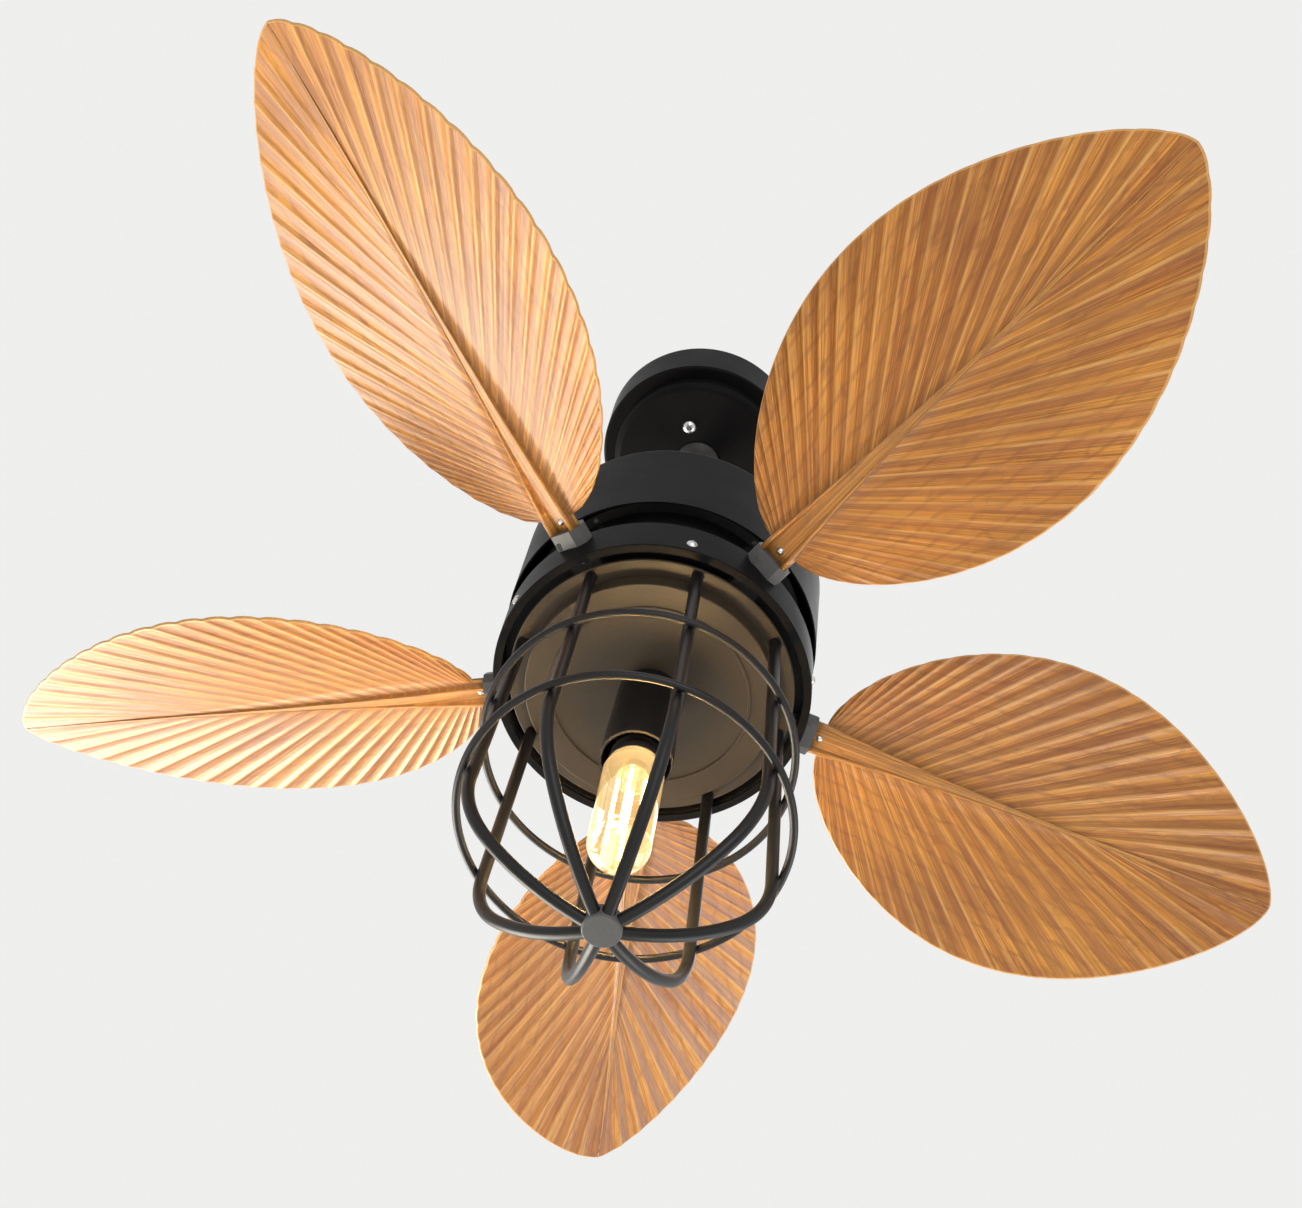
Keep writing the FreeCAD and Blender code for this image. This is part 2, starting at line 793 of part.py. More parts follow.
def motor_shaft():
    """Turn the hollow fixed shaft that carries the stator, the bearings and the light."""
    shaft = turned("motor_shaft", [
        (size.shaft_bore_radius, coupling_step_top),
        (size.shaft_radius, coupling_step_top),
        (size.shaft_radius, shaft_end),
        (size.shaft_bore_radius, shaft_end),
    ])
    finish("motor_shaft", shaft)


def stator():
    """Make the slotted core and the winding heads on its two faces."""
    half_height = size.stator_height / 2
    core = turned("stator_blank", [
        (shaft_hole_radius, motor_middle + half_height),
        (size.stator_radius, motor_middle + half_height),
        (size.stator_radius, motor_middle - half_height),
        (shaft_hole_radius, motor_middle - half_height),
    ])
    slots = []
    for number, azimuth in enumerate(azimuths(ZERO, STATOR_SLOT_COUNT)):
        slot = box("stator_slot_%d" % number, (ZERO, ZERO, ZERO),
                   (size.stator_slot_depth + size.overrun, size.stator_slot_width, size.stator_height))
        start = size.stator_radius - size.stator_slot_depth
        x, y = on_circle(start, azimuth)
        shift_x, shift_y = on_circle(size.stator_slot_width / 2, azimuth - QUARTER_TURN)
        turn = FreeCAD.Rotation(FreeCAD.Vector(0, 0, 1), float(azimuth))
        slots.append(place(slot, x + shift_x, y + shift_y, motor_middle - half_height, turn))
    finish("stator_core", cut("stator_core", core, *slots))
    heads = []
    for name, low in (("upper", motor_middle + half_height),
                      ("lower", motor_middle - half_height - size.winding_height)):
        heads.append(turned("winding_" + name, [
            (size.winding_inner_radius, low),
            (size.winding_outer_radius, low),
            (size.winding_outer_radius, low + size.winding_height),
            (size.winding_inner_radius, low + size.winding_height),
        ]))
    finish("stator_windings", group("stator_windings", heads))


def bearing_levels():
    """Return the heights of the two bearings' middles, each just inside its cover's end wall."""
    inset = size.rotor_wall + size.bearing_width / 2
    return {"upper": rotor_top - inset, "lower": rotor_bottom + inset}


def ball_track(name, pitch, level):
    """Turn the cutter for the groove that the balls run in."""
    circle = doc.addObject("Part::Circle", name + "_circle")
    bind(circle, Radius=size.bearing_ball_radius + size.bearing_groove_clearance)
    place(circle, pitch, ZERO, level, FreeCAD.Rotation(FreeCAD.Vector(1, 0, 0), QUARTER_TURN))
    track = doc.addObject("Part::Revolution", name)
    track.Source = circle
    track.Axis = FreeCAD.Vector(0, 0, 1)
    track.Angle = FULL_TURN
    track.Solid = True
    return track


def bearing_ring(name, inner, outer, pitch, level):
    """Make one ring of a bearing, with the balls' groove cut into it."""
    width = size.bearing_width
    low = level - width / 2
    disc = cylinder(name + "_disc", outer, width, (ZERO, ZERO, low))
    bore = cylinder(name + "_bore", inner, width + size.overrun * 2, (ZERO, ZERO, low - size.overrun))
    return cut(name, cut(name + "_blank", disc, bore), ball_track(name + "_track", pitch, level))


def bearings():
    """Make the inner rings, the outer rings and the balls of both bearings."""
    pitch = (size.bearing_inner_radius + size.bearing_outer_radius) / 2
    inner_rings = []
    outer_rings = []
    balls = []
    for name, level in bearing_levels().items():
        inner_rings.append(bearing_ring("inner_ring_" + name, shaft_hole_radius, size.bearing_inner_radius,
                                        pitch, level))
        outer_rings.append(bearing_ring("outer_ring_" + name, size.bearing_outer_radius, size.bearing_radius,
                                        pitch, level))
        for number, azimuth in enumerate(azimuths(ZERO, BEARING_BALL_COUNT)):
            ball = doc.addObject("Part::Sphere", "bearing_ball_%s_%d" % (name, number))
            bind(ball, Radius=size.bearing_ball_radius)
            x, y = on_circle(pitch, azimuth)
            balls.append(place(ball, x, y, level))
    finish("bearing_inner_rings", group("bearing_inner_rings", inner_rings))
    finish("bearing_outer_rings", group("bearing_outer_rings", outer_rings))
    finish("bearing_balls", group("bearing_balls", balls))


def rotor_cover_outline(end, sign):
    """Return a cover's outline: end wall, bearing hub, outer wall and joint flange."""
    wall = size.rotor_wall * sign
    hub_inner = size.bearing_radius + size.bearing_clearance
    hub_outer = hub_inner + size.bearing_hub_wall
    hub_end = end - wall - size.bearing_width * sign
    flange = motor_middle + size.rotor_flange_sheet * sign
    return [
        (size.rotor_shaft_hole, end),
        (rotor_radius, end),
        (rotor_radius, flange),
        (rotor_flange_radius, flange),
        (rotor_flange_radius, motor_middle),
        (rotor_radius - size.rotor_wall, motor_middle),
        (rotor_radius - size.rotor_wall, end - wall),
        (hub_outer, end - wall),
        (hub_outer, hub_end),
        (hub_inner, hub_end),
        (hub_inner, end - wall),
        (size.rotor_shaft_hole, end - wall),
    ]


def rotor_screw_places():
    """Return x and y of the screws through the covers' joint flange."""
    return [on_circle(rotor_screw_circle, azimuth) for azimuth in blade_azimuths]


def flywheel_screw_places():
    """Return x and y of the bosses under the lower cover, midway between the blades."""
    half_step = FULL_TURN / BLADE_COUNT / 2
    return [on_circle(size.flywheel_boss_circle, azimuth + half_step) for azimuth in blade_azimuths]


def rotor():
    """Make the covers, the ring between them, and the screws of both joints."""
    flange_top = motor_middle + size.rotor_flange_sheet
    flange_length = size.rotor_flange_sheet * 2
    upper_holes = []
    lower_holes = []
    rotor_screws = []
    for number, (x, y) in enumerate(rotor_screw_places()):
        point = (x, y, flange_top)
        upper_holes.append(screw_hole("upper_cover_hole_%d" % number, point, DOWN, flange_length))
        lower_holes.append(screw_hole("lower_cover_hole_%d" % number, point, DOWN, flange_length))
        rotor_screws.append(screw("rotor_screw_%d" % number, point, DOWN, flange_length))
    upper = turned("rotor_upper_blank", rotor_cover_outline(rotor_top, 1))
    finish("rotor_cover_upper", cut("rotor_cover_upper", upper, *upper_holes))
    bosses = []
    flywheel_screws = []
    boss_height = size.flywheel_boss_height
    screw_length = boss_height + size.flywheel_sheet
    for number, (x, y) in enumerate(flywheel_screw_places()):
        bosses.append(cylinder("flywheel_boss_%d" % number, size.flywheel_boss_radius, boss_height,
                               (x, y, band_top)))
        point = (x, y, web_bottom)
        lower_holes.append(screw_hole("boss_hole_%d" % number, point, UP, screw_length - size.overrun))
        flywheel_screws.append(screw("flywheel_screw_%d" % number, point, UP, screw_length))
    lower = turned("rotor_lower_turned", rotor_cover_outline(rotor_bottom, -1))
    blank = fuse("rotor_lower_blank", lower, *bosses)
    finish("rotor_cover_lower", cut("rotor_cover_lower", blank, *lower_holes))
    half_height = size.stator_height / 2
    ring_outer = rotor_radius - size.rotor_wall - size.bearing_clearance
    ring = turned("rotor_ring", [
        (size.stator_radius + size.air_gap, motor_middle - half_height),
        (ring_outer, motor_middle - half_height),
        (ring_outer, motor_middle + half_height),
        (size.stator_radius + size.air_gap, motor_middle + half_height),
    ])
    finish("rotor_ring", ring)
    finish("rotor_screws", group("rotor_screws", rotor_screws))
    finish("flywheel_screws", group("flywheel_screws", flywheel_screws))


# Blade flywheel and band


def tongue_windows(name):
    """Make the cutters for the windows that the holders' tongues pass through."""
    half_width = size.holder_tongue_width / 2 + size.holder_clearance
    depth = size.holder_tongue_sheet + size.holder_clearance
    start = size.band_radius - size.holder_tongue_length / 2
    windows = []
    for number, azimuth in enumerate(blade_azimuths):
        window = box("%s_%d" % (name, number), (ZERO, ZERO, ZERO),
                     (size.holder_tongue_length, half_width * 2, depth))
        x, y = on_circle(start, azimuth)
        shift_x, shift_y = on_circle(half_width, azimuth - QUARTER_TURN)
        turn = FreeCAD.Rotation(FreeCAD.Vector(0, 0, 1), float(azimuth))
        windows.append(place(window, x + shift_x, y + shift_y, web_bottom - depth, turn))
    return windows


def band_screw_lines():
    """Return the outer point and inward direction of each screw in the band's wall."""
    lines = []
    for azimuth in blade_azimuths:
        screw_azimuth = azimuth + size.band_screw_azimuth
        x, y = on_circle(size.band_radius, screw_azimuth)
        angle = math.radians(float(screw_azimuth))
        inward = (-math.cos(angle), -math.sin(angle), 0)
        lines.append(((x, y, band_bottom + size.band_screw_rise), inward))
    return lines


def holder_screw_radii():
    """Return the two radii where screws hold a tongue up against the flywheel."""
    first = size.band_radius - size.holder_tongue_length + size.holder_screw_edge
    return [first, first + size.holder_screw_step]


def holder_screw_places():
    """Return the places of the tongue screws' heads, under the tongues."""
    height = web_bottom - size.holder_tongue_sheet
    places = []
    for azimuth in blade_azimuths:
        for radius in holder_screw_radii():
            x, y = on_circle(radius, azimuth)
            places.append((x, y, height))
    return places


def flywheel_and_band():
    """Make the flywheel that carries the blades, the band round it and their screws."""
    skirt_outer = size.band_radius - size.band_sheet - size.band_fit
    skirt_inner = skirt_outer - size.flywheel_sheet
    skirt_bottom = band_top - size.flywheel_skirt_height
    flywheel = turned("flywheel_turned", [
        (size.flywheel_hole_radius, band_top),
        (skirt_outer, band_top),
        (skirt_outer, skirt_bottom),
        (skirt_inner, skirt_bottom),
        (skirt_inner, web_bottom),
        (size.flywheel_hole_radius, web_bottom),
    ])
    band_inner = size.band_radius - size.band_sheet
    lip_inner = size.band_radius - size.band_lip_width
    band = turned("band_turned", [
        (band_inner, band_top),
        (size.band_radius, band_top),
        (size.band_radius, band_bottom),
        (lip_inner, band_bottom),
        (lip_inner, band_bottom + size.band_sheet),
        (band_inner, band_bottom + size.band_sheet),
    ])
    rounded(band, size.band_round, (size.band_radius, band_bottom), (size.band_radius, band_top))
    flywheel_holes = tongue_windows("flywheel_window")
    band_holes = tongue_windows("band_window")
    band_screws = []
    length = size.band_radius - skirt_inner
    for number, (point, inward) in enumerate(band_screw_lines()):
        flywheel_holes.append(screw_hole("flywheel_side_hole_%d" % number, point, inward, length))
        band_holes.append(screw_hole("band_side_hole_%d" % number, point, inward, length))
        band_screws.append(screw("band_screw_%d" % number, point, inward, length))
    for number, (x, y) in enumerate(flywheel_screw_places()):
        point = (x, y, web_bottom)
        flywheel_holes.append(screw_hole("flywheel_hole_%d" % number, point, UP, size.flywheel_sheet))
    holder_screws = []
    screw_length = size.holder_tongue_sheet + size.flywheel_sheet
    for number, point in enumerate(holder_screw_places()):
        flywheel_holes.append(screw_hole("web_hole_%d" % number, point, UP, screw_length))
        holder_screws.append(screw("holder_screw_%d" % number, point, UP, screw_length))
    finish("blade_flywheel", cut("blade_flywheel", flywheel, *flywheel_holes))
    finish("blade_band", cut("blade_band", band, *band_holes))
    finish("band_screws", group("band_screws", band_screws))
    finish("holder_screws", group("holder_screws", holder_screws))


# Blade holders and leaves: shaped once beside +X, then turned to each azimuth


def blade_frame():
    """Return the placement of a blade's own axes: X along it, Y to its low edge, Z through it."""
    start = float(size.band_radius + size.holder_reach)
    height = float(band_top - size.blade_axis_depth)
    rise = FreeCAD.Rotation(FreeCAD.Vector(0, 1, 0), -float(size.blade_rise))
    pitch = FreeCAD.Rotation(FreeCAD.Vector(1, 0, 0), -float(size.blade_pitch))
    return FreeCAD.Placement(FreeCAD.Vector(start, 0, height), rise.multiply(pitch))


def chamfered_prism(half_width, half_height, corner, start, end):
    """Return a bar along X whose rectangular section has chamfered corners."""
    w, h, c = half_width, half_height, corner
    section = [(w, h - c), (w - c, h), (c - w, h), (-w, h - c)]
    section += [(-y, -z) for y, z in section]
    points = [FreeCAD.Vector(start, y, z) for y, z in section]
    face = Part.Face(Part.makePolygon(points + points[:1]))
    return face.extrude(FreeCAD.Vector(end - start, 0, 0))


def box_shape(low, high):
    """Return a plain box between two corners given as numbers."""
    sides = [b - a for a, b in zip(low, high)]
    return Part.makeBox(*sides, FreeCAD.Vector(*low))


def stem_floor():
    """Return the height of the channel's floor under the stem, in the blade's own axes."""
    half_width, height, recess = rib_section(0)
    return recess - height - float(size.leaf_sheet) / 2


def finger_top():
    """Return the height of the top of the holder's finger, in the blade's own axes."""
    return float(size.leaf_sheet) / 2 + float(size.holder_clearance + size.holder_finger_sheet)


def blade_screw_bore():
    """Return the bore of a blade's screw, in the blade's own axes."""
    overrun = float(size.overrun)
    start = FreeCAD.Vector(float(size.blade_screw_step), 0, stem_floor() - overrun)
    return Part.makeCylinder(float(screw_hole_radius), finger_top() - stem_floor() + overrun * 2, start)


def holder_shape():
    """Return a holder: faceted boss on the band, finger over the stem, tongue under the flywheel."""
    reach = float(size.holder_reach)
    half_finger = float(size.holder_finger_width) / 2
    finger_bottom = float(size.leaf_sheet) / 2 + float(size.holder_clearance)
    boss = chamfered_prism(float(size.holder_half_width), float(size.holder_half_height),
                           float(size.holder_corner), -reach * 2, 0)
    finger = box_shape((-reach / 2, -half_finger, finger_bottom),
                       (float(size.holder_finger_length), half_finger, finger_top()))
    outer = boss.fuse(finger).cut(blade_screw_bore())
    outer.Placement = blade_frame()
    seat = float(size.band_radius + size.seat_clearance)
    tall = float(size.band_height) * 2
    core = Part.makeCylinder(seat, tall * 2, FreeCAD.Vector(0, 0, float(band_top) - tall))
    half_tongue = float(size.holder_tongue_width) / 2
    tongue_top = float(web_bottom)
    tongue = box_shape((float(size.band_radius - size.holder_tongue_length), -half_tongue,
                        tongue_top - float(size.holder_tongue_sheet)),
                       (float(size.band_radius) + reach / 2, half_tongue, tongue_top))
    shape = outer.cut(core).fuse(tongue)
    for radius in holder_screw_radii():
        start = FreeCAD.Vector(float(radius), 0, tongue_top - float(size.holder_tongue_sheet + size.overrun))
        length = float(size.holder_tongue_sheet + size.overrun * 2)
        shape = shape.cut(Part.makeCylinder(float(screw_hole_radius), length, start))
    return shape.removeSplitter()


def leaf_length():
    """Return a blade's length along its own axis, from the holder to the tip."""
    radial = float(size.blade_tip_radius - size.band_radius - size.holder_reach)
    return radial / math.cos(math.radians(float(size.blade_rise)))


def leaf_outline_point(share):
    """Return the leaf's edge at a share of its length: a sine bulge over a narrowing stem."""
    stem = float(size.stem_length)
    bulge = math.sin(math.pi * share ** OUTLINE_PEAK_SHARE) ** OUTLINE_FULLNESS_SHARE if 0 < share < 1 else 0
    half_width = float(size.stem_half_width) * (1 - share)
    half_width += (float(size.leaf_half_width) - float(size.stem_half_width) / 2) * bulge
    return stem + (leaf_length() - stem) * share, half_width


def leaf_edge_points():
    """Return the pleat lines' outer ends, spaced evenly along the leaf's edge."""
    path = [leaf_outline_point(step / OUTLINE_STEPS) for step in range(OUTLINE_STEPS + 1)]
    reached = [0]
    for before, after in zip(path, path[1:]):
        reached.append(reached[-1] + math.dist(before, after))
    line_count = PLEAT_COUNT * 2
    points = []
    step = 0
    for line in range(line_count + 1):
        wanted = reached[-1] * line / line_count
        while step < OUTLINE_STEPS - 1 and reached[step + 1] < wanted:
            step += 1
        part = (wanted - reached[step]) / (reached[step + 1] - reached[step])
        points.append([a + (b - a) * part for a, b in zip(path[step], path[step + 1])])
    return points


def rib_section(share):
    """Return the midrib's half width, rail height and recess depth at a share of its length."""
    left = 1 - share
    end_width = float(size.rib_end_half_width)
    end_height = float(size.rail_end_height)
    half_width = end_width + (float(size.stem_half_width) - end_width) * left ** RIB_TAPER_POWER
    height = end_height + (float(size.rail_height) - end_height) * left ** RAIL_TAPER_POWER
    recess_share = RECESS_END_SHARE + (RECESS_START_SHARE - RECESS_END_SHARE) * left ** RECESS_TAPER_POWER
    return half_width, height, height * recess_share


class LeafMesh:
    """The corners and triangles of a leaf, with equal corners shared."""

    def __init__(self):
        self.corners = []
        self.numbers = {}
        self.triangles = []

    def corner(self, point):
        """Return a corner's number."""
        key = tuple(round(value, 6) for value in point)
        if key not in self.numbers:
            self.numbers[key] = len(self.corners)
            self.corners.append(key)
        return self.numbers[key]

    def add_fan(self, *points):
        """Add a polygon as triangles from its first corner, leaving out those with no area."""
        numbers = [self.corner(point) for point in points]
        for second, third in zip(numbers[1:], numbers[2:]):
            if len({numbers[0], second, third}) == 3:
                self.triangles.append((numbers[0], second, third))

    def solid(self):
        """Return the closed solid."""
        shell = Part.Shape()
        shell.makeShapeFromMesh((self.corners, self.triangles), float(size.screw_clearance) / 100)
        solid = Part.Solid(Part.Shell(shell.Faces))
        if solid.Volume < 0:
            solid.reverse()
        return solid


def pleat_line(line, edge_point):
    """Return a pleat line's inner and outer end on the leaf's middle surface, on the +Y side."""
    line_count = PLEAT_COUNT * 2
    share = (line / line_count) ** PLEAT_START_POWER
    stem = float(size.stem_length)
    half_width = rib_section(share)[0]
    inner_x = stem + (leaf_length() * RIB_END_SHARE - stem) * share
    length = math.dist((inner_x, half_width), edge_point)
    if line in (0, line_count):
        return (inner_x, half_width, 0), (edge_point[0], edge_point[1], 0)
    side = 1 if line % 2 else -1
    stretch = 1 + side * float(size.scallop_depth) / 2 / length if length else 1
    outer_x = inner_x + (edge_point[0] - inner_x) * stretch
    outer_y = half_width + (edge_point[1] - half_width) * stretch
    return (inner_x, half_width, 0), (outer_x, outer_y, side * float(size.pleat_depth) / 2)


def rib_corners(x, share):
    """Return the under side of the midrib at x, from -Y to +Y: two rails and the floor between."""
    half_width, height, recess = rib_section(share)
    inner = half_width * (1 - RAIL_WIDTH_SHARE)
    level = -float(size.leaf_sheet) / 2
    low = level - height
    floor = low + recess
    return [
        (x, -half_width, level), (x, -half_width, low), (x, -inner, low), (x, -inner, floor),
        (x, inner, floor), (x, inner, low), (x, half_width, low), (x, half_width, level),
    ]


def leaf_shape():
    """Return a leaf: pleats that fan out from a tapering midrib to an evenly scalloped edge."""
    mesh = LeafMesh()
    half_sheet = float(size.leaf_sheet) / 2
    lines = [pleat_line(line, point) for line, point in enumerate(leaf_edge_points())]
    line_count = len(lines) - 1

    def lifted(point, side, height):
        return point[0], point[1] * side, point[2] + height

    for (near_in, near_out), (far_in, far_out) in zip(lines, lines[1:]):
        for side in (-1, 1):
            turn = 1 if side > 0 else -1
            for height in (half_sheet, -half_sheet):
                ring = [lifted(point, side, height) for point in (near_in, far_in, far_out, near_out)]
                mesh.add_fan(*ring[::turn if height < 0 else -turn])
            wall = [lifted(near_out, side, half_sheet), lifted(near_out, side, -half_sheet),
                    lifted(far_out, side, -half_sheet), lifted(far_out, side, half_sheet)]
            mesh.add_fan(*wall[::turn])

    stations = [(0, 0)]
    for line, (inner, outer) in enumerate(lines):
        share = (line / line_count) ** PLEAT_START_POWER
        stations.append((inner[0], share))
    sections = [rib_corners(x, share) for x, share in stations]
    tops = [lifted(section[-1], 1, half_sheet * 2) for section in sections]
    for near, far in zip(sections, sections[1:]):
        for near_a, near_b, far_a, far_b in zip(near, near[1:], far, far[1:]):
            mesh.add_fan(near_a, far_a, far_b, near_b)
    for near, far in zip(tops, tops[1:]):
        mesh.add_fan(near, far, lifted(far, -1, 0), lifted(near, -1, 0))
    for side, foot in ((-1, 0), (1, -1)):
        wall = [lifted(tops[0], side, 0), sections[0][foot], sections[1][foot], lifted(tops[1], side, 0)]
        mesh.add_fan(*wall[::side])

    first = sections[0]
    mesh.add_fan(first[0], first[1], first[2], first[3])
    mesh.add_fan(first[4], first[5], first[6], first[7])
    mesh.add_fan(first[0], first[3], first[4], first[7])
    mesh.add_fan(first[0], first[7], tops[0], lifted(tops[0], -1, 0))
    last = sections[-1]
    mesh.add_fan(last[3], last[2], last[1], last[0])
    mesh.add_fan(last[7], last[6], last[5], last[4])
    mesh.add_fan(last[7], last[4], last[3], last[0])
    tip = lines[-1][1]
    mesh.add_fan(last[7], last[0], lifted(tip, 1, -half_sheet))
    mesh.add_fan(lifted(tops[-1], -1, 0), tops[-1], lifted(tip, 1, half_sheet))

    leaf = mesh.solid().cut(blade_screw_bore())
    leaf.Placement = blade_frame()
    return leaf


def blade_screw_shape():
    """Return a blade's screw: head between the stem's rails, shank up into the holder's finger."""
    base = FreeCAD.Vector(float(size.blade_screw_step), 0, stem_floor())
    length = finger_top() - stem_floor()
    ball, latitude = dome(size.blade_screw_head_radius, size.blade_screw_head_height)
    centre = base + FreeCAD.Vector(0, 0, float(ball - size.blade_screw_head_height))
    down = FreeCAD.Vector(0, 0, -1)
    head = Part.makeSphere(float(ball), centre, down, float(latitude), QUARTER_TURN, FULL_TURN)
    shape = head.fuse(Part.makeCylinder(float(size.screw_radius), length, base))
    shape.Placement = blade_frame()
    return shape


def shaped(name, shape, azimuth):
    """Make an object from a shape and turn it about the fan's axis."""
    thing = doc.addObject("Part::Feature", name)
    thing.Shape = shape
    turn = FreeCAD.Placement(FreeCAD.Vector(), FreeCAD.Rotation(FreeCAD.Vector(0, 0, 1), float(azimuth)))
    thing.Placement = turn.multiply(shape.Placement)
    return thing


def blades():
    """Make the holders, the leaves and the leaves' screws."""
    holder = holder_shape()
    leaf = leaf_shape()
    fastener = blade_screw_shape()
    screws = []
    for number, azimuth in enumerate(blade_azimuths, 1):
        finish("blade_holder_%d" % number, shaped("blade_holder_%d" % number, holder, azimuth))
        finish("blade_%d" % number, shaped("blade_%d" % number, leaf, azimuth))
        screws.append(shaped("blade_screw_%d" % number, fastener, azimuth))
    finish("blade_screws", group("blade_screws", screws))


# Light pan and lamp


def bar_places():
    """Return x and y of the cage bars' upper ends."""
    return [on_circle(bar_circle, azimuth) for azimuth in azimuths(size.bar_azimuth, BAR_COUNT)]


def light_pan():
    """Turn the pan: flange for the cage, step wall, and lower disc with a bead ring."""
    inner_radius = pan_radius - size.pan_sheet
    bead_radius = pan_radius - size.bead_inset
    bead_outer = bead_radius + size.bead_width / 2
    bead_inner = bead_radius - size.bead_width / 2
    bead_bottom = pan_bottom - size.bead_height
    disc = turned("pan_turned", [
        (shaft_hole_radius, pan_floor_top),
        (inner_radius, pan_floor_top),
        (inner_radius, pan_flange_top),
        (pan_flange_radius, pan_flange_top),
        (pan_flange_radius, band_bottom),
        (pan_radius, band_bottom),
        (pan_radius, pan_bottom),
        (bead_outer, pan_bottom),
        (bead_outer - size.bead_chamfer, bead_bottom),
        (bead_inner + size.bead_chamfer, bead_bottom),
        (bead_inner, pan_bottom),
        (shaft_hole_radius, pan_bottom),
    ])
    rounded(disc, size.band_round, (pan_flange_radius, band_bottom), (pan_radius, pan_bottom))
    holes = []
    for number, (x, y) in enumerate(bar_places()):
        holes.append(cylinder("pan_hole_%d" % number, size.stud_radius + size.stud_clearance,
                              size.pan_sheet + size.overrun * 2, (x, y, band_bottom - size.overrun)))
    finish("light_pan", cut("light_pan", disc, *holes))


def hex_nut(name, radius, height, hole_radius, point):
    """Make a hexagonal nut that stands up from a point."""
    blank = doc.addObject("Part::Prism", name + "_blank")
    blank.Polygon = HEX_SIDES
    bind(blank, Circumradius=radius, Height=height)
    place(blank, *point)
    x, y, z = point
    hole = cylinder(name + "_hole", hole_radius, height + size.overrun * 2, (x, y, z - size.overrun))
    return cut(name, blank, hole)


def shaft_nuts():
    """Make the nuts above and below the pan that clamp the pan and the lamp cup to the shaft."""
    upper = hex_nut("shaft_nut_upper", size.nut_radius, size.nut_height, shaft_hole_radius,
                    (ZERO, ZERO, pan_floor_top))
    lower = hex_nut("shaft_nut_lower", size.nut_radius, size.nut_height, shaft_hole_radius,
                    (ZERO, ZERO, lower_nut_bottom))
    finish("shaft_nuts", group("shaft_nuts", [upper, lower]))


def lamp_holder():
    """Make the tapered cup, the core with its bore, the screw shell and the end contact."""
    rim = pan_bottom - size.cup_length
    wall = size.cup_wall
    cup = turned("lamp_cup", [
        (shaft_hole_radius, pan_bottom),
        (size.cup_top_radius, pan_bottom),
        (size.cup_rim_radius, rim),
        (size.cup_rim_radius - wall, rim),
        (size.cup_top_radius - wall, cup_floor),
        (shaft_hole_radius, cup_floor),
    ])
    finish("lamp_cup", cup)
    bore_radius = size.shell_radius + size.shell_wall + size.seat_clearance
    core = turned("lamp_core", [
        (shaft_hole_radius, core_top),
        (size.core_radius, core_top),
        (size.core_radius, core_bottom),
        (bore_radius, core_bottom),
        (bore_radius, core_floor),
        (ZERO, core_floor),
        (ZERO, shaft_end),
        (shaft_hole_radius, shaft_end),
    ])
    finish("lamp_core", core)
    shell_top = core_floor - size.shell_inset
    shell = turned("socket_shell", [
        (size.shell_radius, shell_top),
        (size.shell_radius + size.shell_wall, shell_top),
        (size.shell_radius + size.shell_wall, core_bottom),
        (size.shell_radius, core_bottom),
    ])
    finish("socket_shell", shell)
    contact = cylinder("lamp_contact", size.contact_radius, size.contact_height, (ZERO, ZERO, contact_bottom))
    finish("lamp_contact", contact)


def bulb():
    """Make the bulb: screw cap, collar, tubular glass, glass stem and upright filaments."""
    cap = turned("bulb_cap", [
        (ZERO, contact_bottom),
        (size.contact_radius, contact_bottom),
        (size.cap_radius, cap_shoulder),
        (size.cap_radius, cap_bottom),
        (ZERO, cap_bottom),
    ])
    finish("bulb_cap", cap)
    collar = turned("bulb_collar", [
        (ZERO, cap_bottom),
        (size.cap_radius, cap_bottom),
        (size.collar_radius, cap_bottom - size.collar_length / 2),
        (size.collar_radius, collar_bottom),
        (ZERO, collar_bottom),
    ])
    finish("bulb_collar", collar)
    wall = size.glass_wall
    shoulder = collar_bottom - size.glass_neck_length
    inner_radius = size.glass_radius - wall
    glass = turned("bulb_glass", [
        (size.glass_neck_radius, collar_bottom),
        (size.glass_radius, shoulder),
        (size.glass_radius, glass_bottom),
        (ZERO, glass_bottom),
        (ZERO, glass_bottom + wall),
        (inner_radius, glass_bottom + wall),
        (inner_radius, shoulder),
        (size.glass_neck_radius - wall, collar_bottom),
    ])
    rounded(glass, size.glass_round, (size.glass_radius, glass_bottom))
    rounded(glass, size.glass_round - wall, (inner_radius, glass_bottom + wall))
    finish("bulb_glass", glass)
    plate_sheet = size.filament_plate_sheet
    upper_plate = collar_bottom - size.bulb_stem_length
    filament_top = upper_plate - plate_sheet
    filament_bottom = filament_top - size.filament_length
    stem = turned("bulb_stem", [
        (ZERO, collar_bottom),
        (size.bulb_stem_radius, collar_bottom),
        (size.bulb_stem_tip_radius, upper_plate),
        (size.filament_plate_radius, upper_plate),
        (size.filament_plate_radius, filament_top),
        (size.bulb_wire_radius, filament_top),
        (size.bulb_wire_radius, filament_bottom),
        (size.filament_plate_radius, filament_bottom),
        (size.filament_plate_radius, filament_bottom - plate_sheet),
        (ZERO, filament_bottom - plate_sheet),
    ])
    finish("bulb_stem", stem)
    filaments = []
    for number, azimuth in enumerate(azimuths(size.filament_azimuth, FILAMENT_COUNT)):
        x, y = on_circle(size.filament_circle, azimuth)
        filaments.append(cylinder("filament_%d" % number, size.filament_radius, size.filament_length,
                                  (x, y, filament_bottom)))
    finish("bulb_filaments", group("bulb_filaments", filaments))


# Cage


